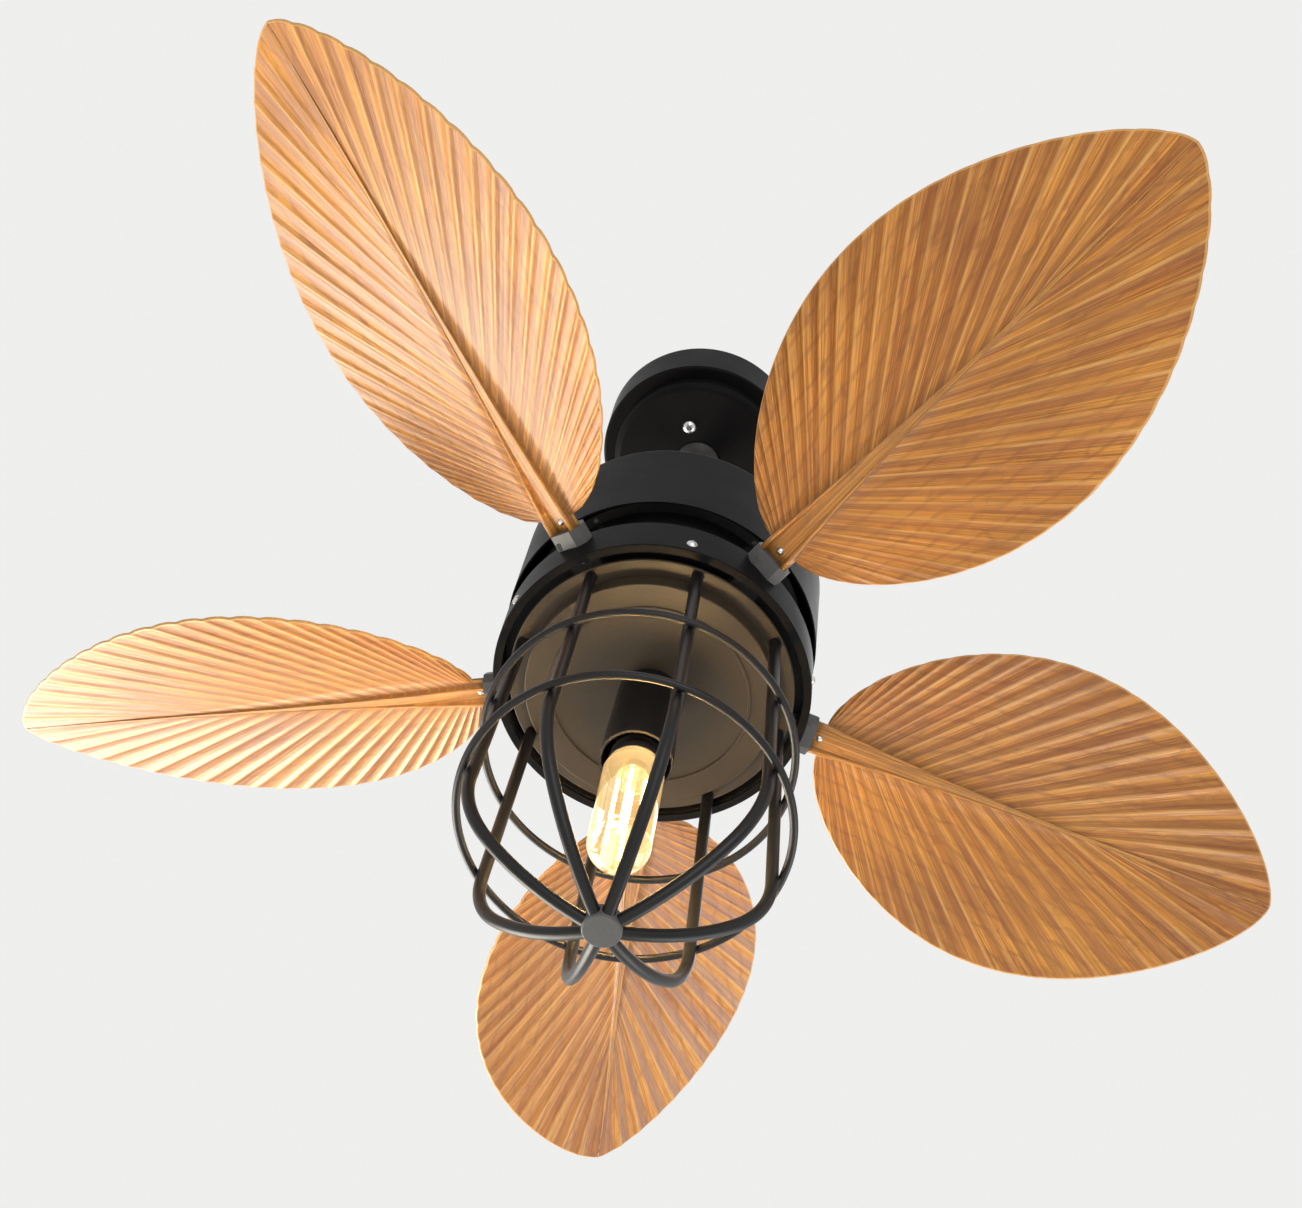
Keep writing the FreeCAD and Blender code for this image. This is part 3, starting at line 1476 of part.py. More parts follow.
def bar_path():
    """Return a bar's middle line in the XZ plane: a straight flare, a shoulder arc and a crown arc."""
    top = FreeCAD.Vector(float(bar_circle), 0, float(band_bottom))
    flare = float(bar_shoulder_circle - bar_circle)
    straight = float(size.bar_straight_length)
    shoulder = top + FreeCAD.Vector(flare, 0, -straight)
    start_angle = math.atan2(flare, straight)

    def arc(start, heading, bend, turn):
        """Return the arc's middle and end, and the new heading, measured inwards from straight down."""
        centre = start - FreeCAD.Vector(math.cos(heading), 0, -math.sin(heading)) * bend
        points = []
        for angle in (heading + turn / 2, heading + turn):
            points.append(centre + FreeCAD.Vector(math.cos(angle), 0, -math.sin(angle)) * bend)
        return points[0], points[1], heading + turn

    shoulder_turn = math.radians(float(size.bar_shoulder_turn))
    middle, crown, heading = arc(shoulder, -start_angle, float(size.bar_shoulder_bend), shoulder_turn)
    crown_bend = float(size.bar_crown_bend)
    centre_x = crown.x - math.cos(heading) * crown_bend
    end_x = float(size.hub_radius - size.bar_end_depth)
    end_angle = math.acos((end_x - centre_x) / crown_bend)
    crown_middle, end, heading = arc(crown, heading, crown_bend, end_angle - heading)
    edges = [
        Part.LineSegment(top, shoulder).toShape(),
        Part.Arc(shoulder, middle, crown).toShape(),
        Part.Arc(crown, crown_middle, end).toShape(),
    ]
    return Part.Wire(edges)


def bar_meets_hub(path):
    """Return the height at which a bar's middle line enters the hub's rim."""
    rim = Part.makeCylinder(float(size.hub_radius), float(size.bar_crown_bend) * 4,
                            FreeCAD.Vector(0, 0, -float(size.bar_crown_bend) * 4 - float(size.drum_top_drop)))
    inside = path.common(rim)
    return max(vertex.Z for vertex in inside.Vertexes)


def bar_radius_at(depth):
    """Return the radius of a bar's middle line on its straight flare, at a depth below the pan."""
    flare = bar_shoulder_circle - bar_circle
    return bar_circle + flare * depth / size.bar_straight_length


def cage():
    """Make the bars and their nuts, the two rings outside the bars, and the hub."""
    path = bar_path()
    hub_middle = bar_meets_hub(path)
    half_hub = float(size.hub_height) / 2
    hub_blank = Part.makeCylinder(float(size.hub_radius), half_hub * 2,
                                  FreeCAD.Vector(0, 0, hub_middle - half_hub))
    rims = [edge for edge in hub_blank.Edges if isinstance(edge.Curve, Part.Circle)]
    hub_shape = hub_blank.makeFillet(float(size.hub_round), rims)
    top = path.Vertexes[0].Point
    direction = path.Edges[0].tangentAt(path.Edges[0].FirstParameter)
    section = Part.Wire(Part.makeCircle(float(size.bar_radius), top, direction))
    rod = path.makePipeShell([section], True, False)
    above = box_shape((0, -float(bar_circle), top.z),
                      (float(bar_circle) * 2, float(bar_circle), top.z + float(size.stud_length)))
    stud = Part.makeCylinder(float(size.stud_radius), float(size.stud_length), top)
    bar = rod.cut(above).cut(hub_blank).fuse(stud).removeSplitter()
    for number, azimuth in enumerate(azimuths(size.bar_azimuth, BAR_COUNT), 1):
        finish("cage_bar_%d" % number, shaped("cage_bar_%d" % number, bar, azimuth))
    nuts = []
    for number, (x, y) in enumerate(bar_places()):
        nuts.append(hex_nut("cage_nut_%d" % number, size.cage_nut_radius, size.cage_nut_height,
                            size.stud_radius + size.stud_clearance, (x, y, pan_flange_top)))
    finish("cage_nuts", group("cage_nuts", nuts))
    for name, depth in (("upper", size.upper_ring_depth), ("lower", size.lower_ring_depth)):
        ring = doc.addObject("Part::Torus", "cage_ring_" + name)
        reach = bar_radius_at(depth) + size.bar_radius + size.ring_gap + size.ring_radius
        bind(ring, Radius1=reach, Radius2=size.ring_radius)
        place(ring, ZERO, ZERO, band_bottom - depth)
        finish("cage_ring_" + name, ring)
    finish("cage_hub", shaped("cage_hub", hub_shape, ZERO))


# Build, check and write


def build():
    """Make every sub-part."""
    ceiling_bracket()
    canopy()
    hanger_ball()
    ball_pin()
    downrod()
    coupling()
    drum_housing()
    motor_shaft()
    stator()
    bearings()
    rotor()
    flywheel_and_band()
    blades()
    light_pan()
    shaft_nuts()
    lamp_holder()
    bulb()
    cage()
    doc.recompute()


def check():
    """Stop if an object failed or a sub-part has no sound shape."""
    for thing in doc.Objects:
        if "Invalid" in thing.State or "Error" in thing.State:
            raise RuntimeError("failed object: " + thing.Name)
    for name, thing in finished:
        if thing.Shape.isNull() or not thing.Shape.isValid() or not thing.Shape.Solids:
            raise RuntimeError("unsound shape: " + name)


def write():
    """Write each sub-part to its own file."""
    os.makedirs("parts", exist_ok=True)
    for name, thing in finished:
        thing.Shape.exportStep(os.path.join("parts", name + ".step"))
        print(name, len(thing.Shape.Solids), "solids", round(thing.Shape.Volume), "mm3")


build()
check()
write()
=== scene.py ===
import json
import math

import bpy
import numpy as np
from mathutils import Matrix, Vector


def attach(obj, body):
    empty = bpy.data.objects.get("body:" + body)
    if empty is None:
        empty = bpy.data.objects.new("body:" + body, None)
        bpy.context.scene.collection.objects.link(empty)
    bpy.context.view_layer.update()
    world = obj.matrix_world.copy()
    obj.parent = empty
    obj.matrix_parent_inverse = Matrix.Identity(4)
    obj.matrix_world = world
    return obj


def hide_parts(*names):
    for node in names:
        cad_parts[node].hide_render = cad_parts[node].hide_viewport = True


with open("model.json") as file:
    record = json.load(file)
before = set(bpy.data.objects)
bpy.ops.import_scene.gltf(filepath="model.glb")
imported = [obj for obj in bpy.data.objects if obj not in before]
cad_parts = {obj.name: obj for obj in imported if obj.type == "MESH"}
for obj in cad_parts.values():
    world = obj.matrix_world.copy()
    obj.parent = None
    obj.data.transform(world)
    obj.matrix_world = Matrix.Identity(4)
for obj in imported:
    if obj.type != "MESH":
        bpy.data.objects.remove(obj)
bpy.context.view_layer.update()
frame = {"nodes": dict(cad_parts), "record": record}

bl_info = {
    "name": "Leaf ceiling fan",
    "version": (1, 0, 0),
    "blender": (4, 5, 0),
    "location": "View3D > Sidebar > Fan",
    "description": "Dresses a ceiling fan with pleated leaf blades and a caged lamp",
    "category": "Object",
}

NODE_SLOTS = {row["node"]: row["material_slot"] for row in frame["record"]["subparts"]}

# The leaf, in metres, with the same sizes as the solid that it stands for
BLADE_COUNT = 5
FIRST_BLADE_AZIMUTH = 14
BLADE_START = Vector((0.136, 0, -0.461))
BLADE_RISE = math.radians(6)
BLADE_PITCH = math.radians(26)
LEAF_LEVEL_LENGTH = 0.424
LEAF_LENGTH = LEAF_LEVEL_LENGTH / math.cos(BLADE_RISE)
LEAF_HALF_WIDTH = 0.128
LEAF_HALF_SHEET = 0.0015
BULGE_LEAN = 0.918
BULGE_POWER = 0.65
FOLD_LINES = 44
SCALLOP = 0.0004
RIM_FADING_POWER = 8

# The midrib, two rails with a channel between them that narrow and lower toward the tip by powers
STEM_LENGTH = 0.010
STEM_HALF_WIDTH = 0.013
RIB_END_HALF_WIDTH = 0.0015
RIB_END_SHARE = 0.7
RIB_SPACING_POWER = 2
RIB_NARROWING_POWER = 2.4
RAIL_HEIGHT = 0.007
RAIL_END_HEIGHT = 0.0015
RAIL_LOWERING_POWER = 1.5
RAIL_CROWN_SHARE = 0.15
CHANNEL_WIDTH_SHARE = 0.7
CHANNEL_DEPTH_SHARE = 0.15
CHANNEL_STEM_DEPTH_SHARE = 0.75
CHANNEL_FADING_POWER = 4

# How finely the leaf is divided
CHANNEL_POINTS = 4
RAIL_POINTS = 9
SHEET_POINTS = 15
RIM_POINTS = 5
TIP_RINGS = 8
EDGE_SAMPLES = 4001
SHORTEST_REACH = 1e-6

# How pale the midrib is painted, on the scale of the folds, from -1 in a crease to 1 on a crest: painted
# light, which keeps the midrib pale in the shade of its rails
RIB_PAINTED_LIGHT = 0.8

# Where the wood's noises are read on the leaf, and how many bands to a metre cross it
SHEET_GRAIN_ACROSS = 0.35
RIB_GRAIN_ACROSS = 700
RIB_GRAIN_START = 60
RIB_GRAIN_ALONG = 0.8
RIB_GRAIN_DEEP = 3
OTHER_SIDE_GRAIN = np.array([50, 0.7, 0])
GRAIN_PER_LEAF = 3.7
BANDS_ACROSS = 75
BANDS_ALONG = 20

# Colours of the pieces that have no colour in the panel
BALL_BLACK = (0.02, 0.02, 0.021)
COLLAR_BLACK = (0.018, 0.017, 0.016)
BRIGHT_PLATE = (0.78, 0.78, 0.79)
ZINC_PLATE = (0.56, 0.57, 0.59)
BRASS = (0.80, 0.60, 0.26)
DARK_CASTING = (0.05, 0.05, 0.052)
# Painted shade: the lamp holder's white ceramic is coloured near black for the shade inside the lamp cup
CERAMIC_PAINTED_SHADE = (0.035, 0.030, 0.026)
BARE_STEEL = (0.22, 0.22, 0.23)
RUSTED_STEEL = (0.13, 0.10, 0.085)
SHEET_GAP = (0.03, 0.03, 0.03)
COPPER = (0.60, 0.23, 0.09)
DARK_COPPER = (0.42, 0.14, 0.05)
WIRE_GAP = (0.10, 0.03, 0.012)
PHOSPHOR = (1.0, 0.72, 0.30)
DARK_PHOSPHOR = (0.95, 0.58, 0.18)

# The soft lamps, each with its place from the aim, the length of its side and its share of the key's power
LAMP_AIM = Vector((0, 0, -0.5))
SOFT_LAMPS = {
    "key": {"away": Vector((-1.65, 2.2, -0.7)), "side": 2.1, "share": 1.0, "colour": (1.0, 0.93, 0.80)},
    "fill": {"away": Vector((0.4, -3.1, -1.2)), "side": 2.2, "share": 0.2, "colour": (1.0, 0.98, 0.96)},
    "side": {"away": Vector((2.3, 1.5, -1.2)), "side": 2.0, "share": 0.25, "colour": (1.0, 0.98, 0.96)},
    "top": {"away": Vector((0.6, 1.6, 3.0)), "side": 2.2, "share": 0.15, "colour": (1.0, 1.0, 1.0)},
}
FLOOR_HALF_WIDTH = 8.0

# The camera, in the fan's own axes
CAMERA_PLACE = Vector((0, -0.808, -1.847))
CAMERA_RIGHT = Vector((0.9798, -0.1716, 0.1025))
CAMERA_UP = Vector((-0.1997, -0.8617, 0.4665))
CAMERA_LENS = 56.31
SENSOR_WIDTH = 36.0


class LeafSizes(bpy.types.PropertyGroup):
    """How the leaves are folded and coloured."""

    fold_depth: bpy.props.FloatProperty(
        name="Fold depth", description="Height of a fold at the leaf's edge, each way from its middle",
        default=0.0015, unit="LENGTH")
    rib_share: bpy.props.FloatProperty(
        name="Fine ridges", description="Share of the fold's height in a ridge halfway down each side",
        default=0.24, min=0, max=0.5, subtype="FACTOR")
    fold_sharpness: bpy.props.FloatProperty(
        name="Fold sharpness", description="From 0, a soft wave, to 1, a sharp crease",
        default=0.98, min=0.1, max=0.999, subtype="FACTOR")
    rim_share: bpy.props.FloatProperty(
        name="Flat rim", description="Share of the fold's height that is gone where the fold meets the rim",
        default=0.5, min=0, max=1, subtype="FACTOR")
    steps_per_fold: bpy.props.IntProperty(
        name="Steps per fold", description="Faces across each side of a fold", default=8, min=2, max=12)
    pale: bpy.props.FloatVectorProperty(
        name="Pale grain", description="Colour of the lightest grain",
        default=(0.78, 0.36, 0.050), subtype="COLOR")
    honey: bpy.props.FloatVectorProperty(
        name="Honey grain", description="Colour of most of the leaf",
        default=(0.58, 0.19, 0.012), subtype="COLOR")
    # The dark grain colour is also the painted shade in the creases and on one side of each fold
    dark: bpy.props.FloatVectorProperty(
        name="Dark grain", description="Colour of the darkest streaks",
        default=(0.20, 0.050, 0.003), subtype="COLOR")
    # The cream is wear and painted highlight on the crests, and painted highlight on the rim
    cream: bpy.props.FloatVectorProperty(
        name="Cream crests", description="Colour of the worn crests and the rim",
        default=(0.86, 0.50, 0.16), subtype="COLOR")


class MetalLook(bpy.types.PropertyGroup):
    """Colours of the painted metal."""

    black: bpy.props.FloatVectorProperty(
        name="Black paint", description="Colour of the satin black paint",
        default=(0.006, 0.006, 0.0065), subtype="COLOR")
    grey: bpy.props.FloatVectorProperty(
        name="Grey paint", description="Colour of the holders and the cage's hub",
        default=(0.095, 0.096, 0.096), subtype="COLOR")
    # Painted light: the pan's black paint is coloured warm brown for the lit bulb's glow on it
    shade: bpy.props.FloatVectorProperty(
        name="Pan paint", description="Colour of the duller black paint inside the cage",
        default=(0.042, 0.030, 0.018), subtype="COLOR")
    paint_roughness: bpy.props.FloatProperty(
        name="Paint roughness", description="How dull the satin paint is",
        default=0.42, min=0, max=1, subtype="FACTOR")


class LampLook(bpy.types.PropertyGroup):
    """The lit bulb."""

    glow: bpy.props.FloatVectorProperty(
        name="Glow", description="Colour of the lit filaments", default=(1.0, 0.66, 0.27), subtype="COLOR")
    strength: bpy.props.FloatProperty(
        name="Strength", description="Brightness of the lit filaments", default=260.0, min=0)
    amber: bpy.props.FloatVectorProperty(
        name="Glass tint", description="Tint of the bulb's glass", default=(1.0, 0.93, 0.80), subtype="COLOR")
    # Painted light: the glass itself glows, for the bulb's light in it
    painted_glass_glow: bpy.props.FloatProperty(
        name="Haze", description="Faint glow of the glass round the lit filaments", default=0.2, min=0)


class StageLook(bpy.types.PropertyGroup):
    """The floor, the light and the pale surroundings."""

    floor_drop: bpy.props.FloatProperty(
        name="Floor drop", description="How far the floor is under the ceiling", default=3.6, unit="LENGTH")
    floor_lift: bpy.props.FloatProperty(
        name="Floor lift", description="How much the floor is paler than lit, without light on the fan",
        default=0.45, min=0)
    pale: bpy.props.FloatVectorProperty(
        name="Surroundings", description="Colour behind the fan", default=(0.86, 0.86, 0.85), subtype="COLOR")
    ambient: bpy.props.FloatProperty(
        name="Ambient", description="Strength of the even light", default=0.42, min=0)
    key: bpy.props.FloatProperty(
        name="Key light", description="Power of the large soft lamp", default=165, min=0, unit="POWER")


class Finish:
    """A material's nodes, built from its shader back."""

    def __init__(self, name):
        self.material = bpy.data.materials.new(name)
        self.material.use_nodes = True
        self.tree = self.material.node_tree
        self.shader = self.tree.nodes["Principled BSDF"]

    def set(self, socket, value):
        """Join a socket to another one, or give it a plain value."""
        if isinstance(value, bpy.types.NodeSocket):
            self.tree.links.new(value, socket)
        else:
            socket.default_value = value

    def node(self, kind, inputs, **settings):
        """Add a node, with its settings and what goes into it."""
        made = self.tree.nodes.new("ShaderNode" + kind)
        for setting, value in settings.items():
            setattr(made, setting, value)
        for socket, value in inputs.items():
            self.set(made.inputs[socket], value)
        return made

    def surface(self, **inputs):
        """Set the shader's own sockets, with _ in a socket's name for each space."""
        for socket, value in inputs.items():
            self.set(self.shader.inputs[socket.replace("_", " ")], value)

    def place(self):
        """Return the place on the piece, in metres."""
        return self.node("TexCoord", {}).outputs["Object"]

    def attribute(self, name, output):
        """Return one of the mesh's own values."""
        return self.node("Attribute", {}, attribute_name=name).outputs[output]

    def noise(self, vector, scale, detail=3.0, roughness=0.5, distortion=0.0):
        """Return a cloudy value from 0 to 1."""
        made = self.node("TexNoise", {"Vector": vector, "Scale": scale, "Detail": detail,
                                      "Roughness": roughness, "Distortion": distortion})
        return made.outputs[0]

    def stretched_noise(self, vector, scales, detail=3.0, roughness=0.5, distortion=0.0):
        """Return a cloudy value with a scale of its own along each axis."""
        stretched = self.node("VectorMath", {0: vector, 1: scales}, operation="MULTIPLY").outputs["Vector"]
        return self.noise(stretched, 1.0, detail, roughness, distortion)

    def spread(self, value, old, new):
        """Return a value carried from one range to another, held inside the new one."""
        made = self.node("MapRange", {0: value, 1: old[0], 2: old[1], 3: new[0], 4: new[1]})
        return made.outputs[0]

    def math(self, operation, first, second=0.0):
        """Return the result of a sum, a product or another operation on values."""
        return self.node("Math", {0: first, 1: second}, operation=operation).outputs[0]

    def mix(self, share, first, second):
        """Return a colour between two others."""
        made = self.node("Mix", {}, data_type="RGBA")
        for number, value in ((0, share), (6, first), (7, second)):
            self.set(made.inputs[number], value)
        return made.outputs[2]

    def bump(self, height, distance, under=None):
        """Return a surface direction roughened by a height, over an earlier one."""
        inputs = {"Height": height, "Distance": distance, "Strength": 1.0}
        if under is not None:
            inputs["Normal"] = under
        return self.node("Bump", inputs).outputs["Normal"]


def opaque(colour):
    """Return a colour with full cover."""
    return (*colour, 1.0)


def scaled(colour, share):
    """Return a colour made lighter or darker, with full cover."""
    return opaque([min(1.0, channel * share) for channel in colour])


def seen_rays(tree):
    """Return a socket that is 1 for what is seen, mirrored or looked through to, and 0 for its light."""
    rays = tree.nodes.new("ShaderNodeLightPath")
    seen = rays.outputs["Is Camera Ray"]
    for kind in ("Is Glossy Ray", "Is Transmission Ray"):
        either = tree.nodes.new("ShaderNodeMath")
        either.operation = "MAXIMUM"
        tree.links.new(seen, either.inputs[0])
        tree.links.new(rays.outputs[kind], either.inputs[1])
        seen = either.outputs[0]
    return seen


def paint_finish(name, colour, roughness, lift, shine):
    """Satin paint: fine orange peel, a slow change of gloss, and faint pale dust."""
    finish = Finish(name)
    place = finish.place()
    peel = finish.noise(place, scale=900, detail=2.0)
    cloud = finish.noise(place, scale=14, detail=4.0, roughness=0.6)
    specks = finish.noise(place, scale=260, detail=5.0, roughness=0.7)
    dust = finish.spread(specks, (0.52, 0.8), (0.0, 0.35))
    tone = finish.mix(cloud, opaque(colour), scaled(colour, lift))
    finish.surface(
        Base_Color=finish.mix(dust, tone, scaled(colour, lift * 1.6)),
        Roughness=finish.spread(cloud, (0.3, 0.7), (roughness - 0.06, roughness + 0.08)),
        Specular_IOR_Level=shine,
        Normal=finish.bump(peel, distance=0.00004),
    )
    return finish.material


def plated_finish(name, colour, roughness, streak_scales):
    """Bare or plated metal: fine drawn streaks and a slow change of tone."""
    finish = Finish(name)
    place = finish.place()
    streaks = finish.stretched_noise(place, streak_scales, detail=4.0, roughness=0.6)
    cloud = finish.noise(place, scale=45)
    finish.surface(
        Base_Color=finish.mix(cloud, opaque(colour), scaled(colour, 0.72)),
        Metallic=1.0,
        Roughness=finish.spread(streaks, (0.25, 0.75), (roughness - 0.07, roughness + 0.12)),
        Normal=finish.bump(streaks, distance=0.00003),
    )
    return finish.material


def cast_finish(name, colour, roughness, grain_scale, metallic=0.0):
    """Cast or moulded surface: small pits and a mottled tone."""
    finish = Finish(name)
    place = finish.place()
    pits = finish.noise(place, scale=grain_scale, detail=5.0, roughness=0.7)
    cloud = finish.noise(place, scale=30)
    finish.surface(
        Base_Color=finish.mix(cloud, opaque(colour), scaled(colour, 0.7)),
        Metallic=metallic,
        Roughness=finish.spread(pits, (0.3, 0.7), (roughness - 0.08, roughness + 0.1)),
        Normal=finish.bump(pits, distance=0.0001),
    )
    return finish.material


def laminated_finish():
    """Stacked steel sheets: thin dark lines about a millimetre apart along the axis."""
    finish = Finish("stacked_steel")
    place = finish.place()
    wave = finish.node("TexWave", {"Vector": place, "Scale": 320.0, "Distortion": 0.0}, bands_direction="Z")
    lines = wave.outputs["Fac"]
    rust = finish.noise(place, scale=60, detail=5.0, roughness=0.65)
    bare = finish.mix(rust, opaque(BARE_STEEL), opaque(RUSTED_STEEL))
    gaps = finish.spread(lines, (0.0, 0.35), (0.6, 0.0))
    finish.surface(
        Base_Color=finish.mix(gaps, bare, opaque(SHEET_GAP)),
        Metallic=0.9,
        Roughness=finish.spread(rust, (0.3, 0.7), (0.38, 0.6)),
        Normal=finish.bump(lines, distance=0.0001),
    )
    return finish.material


def wound_copper_finish():
    """Lacquered wire: round strands side by side, about two millimetres apart, with darker gaps."""
    finish = Finish("wound_copper")
    place = finish.place()
    wave = finish.node("TexWave", {"Vector": place, "Scale": 150.0, "Distortion": 2.0, "Detail": 2.0},
                       wave_type="RINGS", rings_direction="Z")
    strands = wave.outputs["Fac"]
    cloud = finish.noise(place, scale=50)
    wire = finish.mix(cloud, opaque(COPPER), opaque(DARK_COPPER))
    gaps = finish.spread(strands, (0.0, 0.4), (0.7, 0.0))
    finish.surface(
        Base_Color=finish.mix(gaps, wire, opaque(WIRE_GAP)),
        Metallic=0.85,
        Roughness=0.32,
        Coat_Weight=0.4,
        Normal=finish.bump(strands, distance=0.0004),
    )
    return finish.material


def glass_finish(tint, glow, painted_glass_glow):
    """Clear bulb glass with a faint tint, a painted glow, and slow waves from blowing."""
    finish = Finish("bulb_glass")
    waves = finish.stretched_noise(finish.place(), (60, 60, 18), detail=2.0)
    finish.surface(
        Base_Color=opaque(tint),
        Transmission_Weight=1.0,
        IOR=1.46,
        Emission_Color=opaque(glow),
        Emission_Strength=painted_glass_glow,
        Roughness=finish.spread(waves, (0.3, 0.7), (0.0, 0.02)),
        Normal=finish.bump(waves, distance=0.00005),
    )
    return finish.material


def glowing_finish(glow, strength):
    """Lit filament: grains of phosphor of two tones under one even glow."""
    finish = Finish("lit_filament")
    grains = finish.noise(finish.place(), scale=700, detail=2.0)
    finish.surface(
        Base_Color=finish.mix(grains, opaque(PHOSPHOR), opaque(DARK_PHOSPHOR)),
        Roughness=0.6,
        Emission_Color=opaque(glow),
        Emission_Strength=strength,
        Normal=finish.bump(grains, distance=0.0001),
    )
    return finish.material


def crossing_bands(finish):
    """Lines across the folds: a sine of the mesh's own count of bands, pushed about by noise."""
    wander = finish.math("MULTIPLY", finish.noise(finish.place(), scale=30, detail=2.0), 9.0)
    turns = finish.math("MULTIPLY", finish.attribute("cross", "Fac"), math.tau)
    return finish.math("SINE", finish.math("ADD", turns, wander))


def crest_wear_and_highlight(finish, grain, fold):
    """The crests of the folds, pale from wear and from painted highlight, broken up along their length by
    noise.
    """
    crest_noise = finish.stretched_noise(grain, (1.3, 14.0, 6.0), detail=4.0, roughness=0.6)
    worn_and_lit = finish.spread(crest_noise, (0.38, 0.62), (0.05, 0.55))
    return finish.math("MULTIPLY", finish.spread(fold, (0.45, 0.95), (0.0, 1.0)), worn_and_lit)


def leaf_colour(finish, look, grain, streaks, hairs):
    """The leaf's colours, laid over honey wood one after the other."""
    fold = finish.attribute("fold", "Fac")
    crossing = finish.stretched_noise(grain, (0.8, 55.0, 30.0), detail=2.0, distortion=0.8)
    patches = finish.noise(finish.place(), scale=9, roughness=0.55)
    bands = crossing_bands(finish)

    line = finish.node("SeparateXYZ", {0: grain}).outputs[0]
    half_line = finish.math("MULTIPLY", line, 0.5)
    each_fold = finish.node("TexWhiteNoise", {"W": finish.math("FLOOR", half_line)}, noise_dimensions="1D")
    # Painted shade: one side of each fold is darkened, as if it faced away from the light
    shaded_flank = finish.spread(finish.math("FRACT", half_line), (0.45, 0.55), (0.0, 1.0))

    layers = (
        (finish.spread(streaks, (0.40, 0.60), (0.0, 1.0)), look.pale),
        (finish.spread(patches, (0.42, 0.70), (0.0, 0.5)), look.dark),
        (finish.spread(crossing, (0.55, 0.72), (0.0, 0.45)), look.dark),
        (finish.spread(bands, (0.55, 1.0), (0.0, 0.40)), look.dark),
        (finish.spread(hairs, (0.47, 0.62), (0.0, 0.75)), look.dark),
        (finish.spread(each_fold.outputs["Value"], (0.0, 1.0), (0.0, 0.25)), look.pale),
        # Painted shade on one side of each fold
        (finish.math("MULTIPLY", shaded_flank, 0.46), look.dark),
        # Painted shade: the creases of the folds are darkened
        (finish.spread(fold, (-1.0, -0.45), (0.8, 0.0)), look.dark),
        # Wear and painted highlight on the crests
        (crest_wear_and_highlight(finish, grain, fold), look.cream),
        # Painted highlight along the rim
        (finish.math("MULTIPLY", finish.attribute("rim", "Fac"), 0.6), look.cream),
    )
    colour = opaque(look.honey)
    for share, over in layers:
        colour = finish.mix(share, colour, opaque(over))
    return colour


def leaf_finish(look):
    """Pleated wood leaf: streaks along each fold, faint lines across, painted shade in the creases and on one
    side of each fold, crests pale from wear and painted highlight, and a rim with painted highlight.
    """
    finish = Finish("leaf_wood")
    grain = finish.attribute("grain", "Vector")
    streaks = finish.stretched_noise(grain, (3.2, 9.0, 6.0), detail=6.0, roughness=0.62, distortion=0.3)
    hairs = finish.stretched_noise(grain, (9.0, 14.0, 9.0), detail=4.0, roughness=0.65)
    finish.surface(
        Base_Color=leaf_colour(finish, look, grain, streaks, hairs),
        Roughness=finish.spread(streaks, (0.3, 0.7), (0.44, 0.32)),
        Specular_IOR_Level=0.45,
        Coat_Weight=0.5,
        Coat_Roughness=0.3,
        Normal=finish.bump(hairs, distance=0.0003, under=finish.bump(streaks, distance=0.0005)),
    )
    return finish.material


def wear(node, material):
    """Give a solid its material."""
    slots = frame["nodes"][node].data.materials
    slots.clear()
    slots.append(material)


def wear_slots(finishes):
    """Give every solid whose slot is named its finish."""
    for node, slot in NODE_SLOTS.items():
        if slot in finishes:
            wear(node, finishes[slot])


def new_piece(name, points, faces, material):
    """Make a mesh object at the origin from corners and faces."""
    mesh = bpy.data.meshes.new(name)
    mesh.from_pydata(points, [], faces)
    mesh.materials.append(material)
    piece = bpy.data.objects.new(name, mesh)
    bpy.context.scene.collection.objects.link(piece)
    return piece


def rounded_wave(line, sharpness):
    """A triangle wave with rounded crests: the arcsine of a sine that stops short of one."""
    return np.arcsin(sharpness * np.sin(np.pi * (line - 0.5))) / math.asin(sharpness)


def fold_wave(line, look):
    """The folds, with a finer ridge halfway down each side: two triangle waves, one twice as fast."""
    folds = rounded_wave(line, look.fold_sharpness) * (1 - look.rib_share)
    ridges = rounded_wave(line * 2, look.fold_sharpness) * look.rib_share
    return (folds + ridges) * np.clip(line, 0, 1) * np.clip(FOLD_LINES - line, 0, 1)


def leaf_edge(line):
    """The leaf's edge where each fold line ends, evenly spaced: a sine bulge over a narrowing stem."""
    share = np.linspace(0, 1, EDGE_SAMPLES)
    x = STEM_LENGTH + (LEAF_LENGTH - STEM_LENGTH) * share
    bulge = np.clip(np.sin(np.pi * share ** BULGE_LEAN), 0, 1) ** BULGE_POWER
    y = STEM_HALF_WIDTH * (1 - share) + (LEAF_HALF_WIDTH - STEM_HALF_WIDTH / 2) * bulge
    reached = np.concatenate([[0], np.cumsum(np.hypot(np.diff(x), np.diff(y)))])
    wanted = reached[-1] * np.clip(line / FOLD_LINES, 0, 1)
    return np.interp(wanted, reached, x), np.interp(wanted, reached, y)


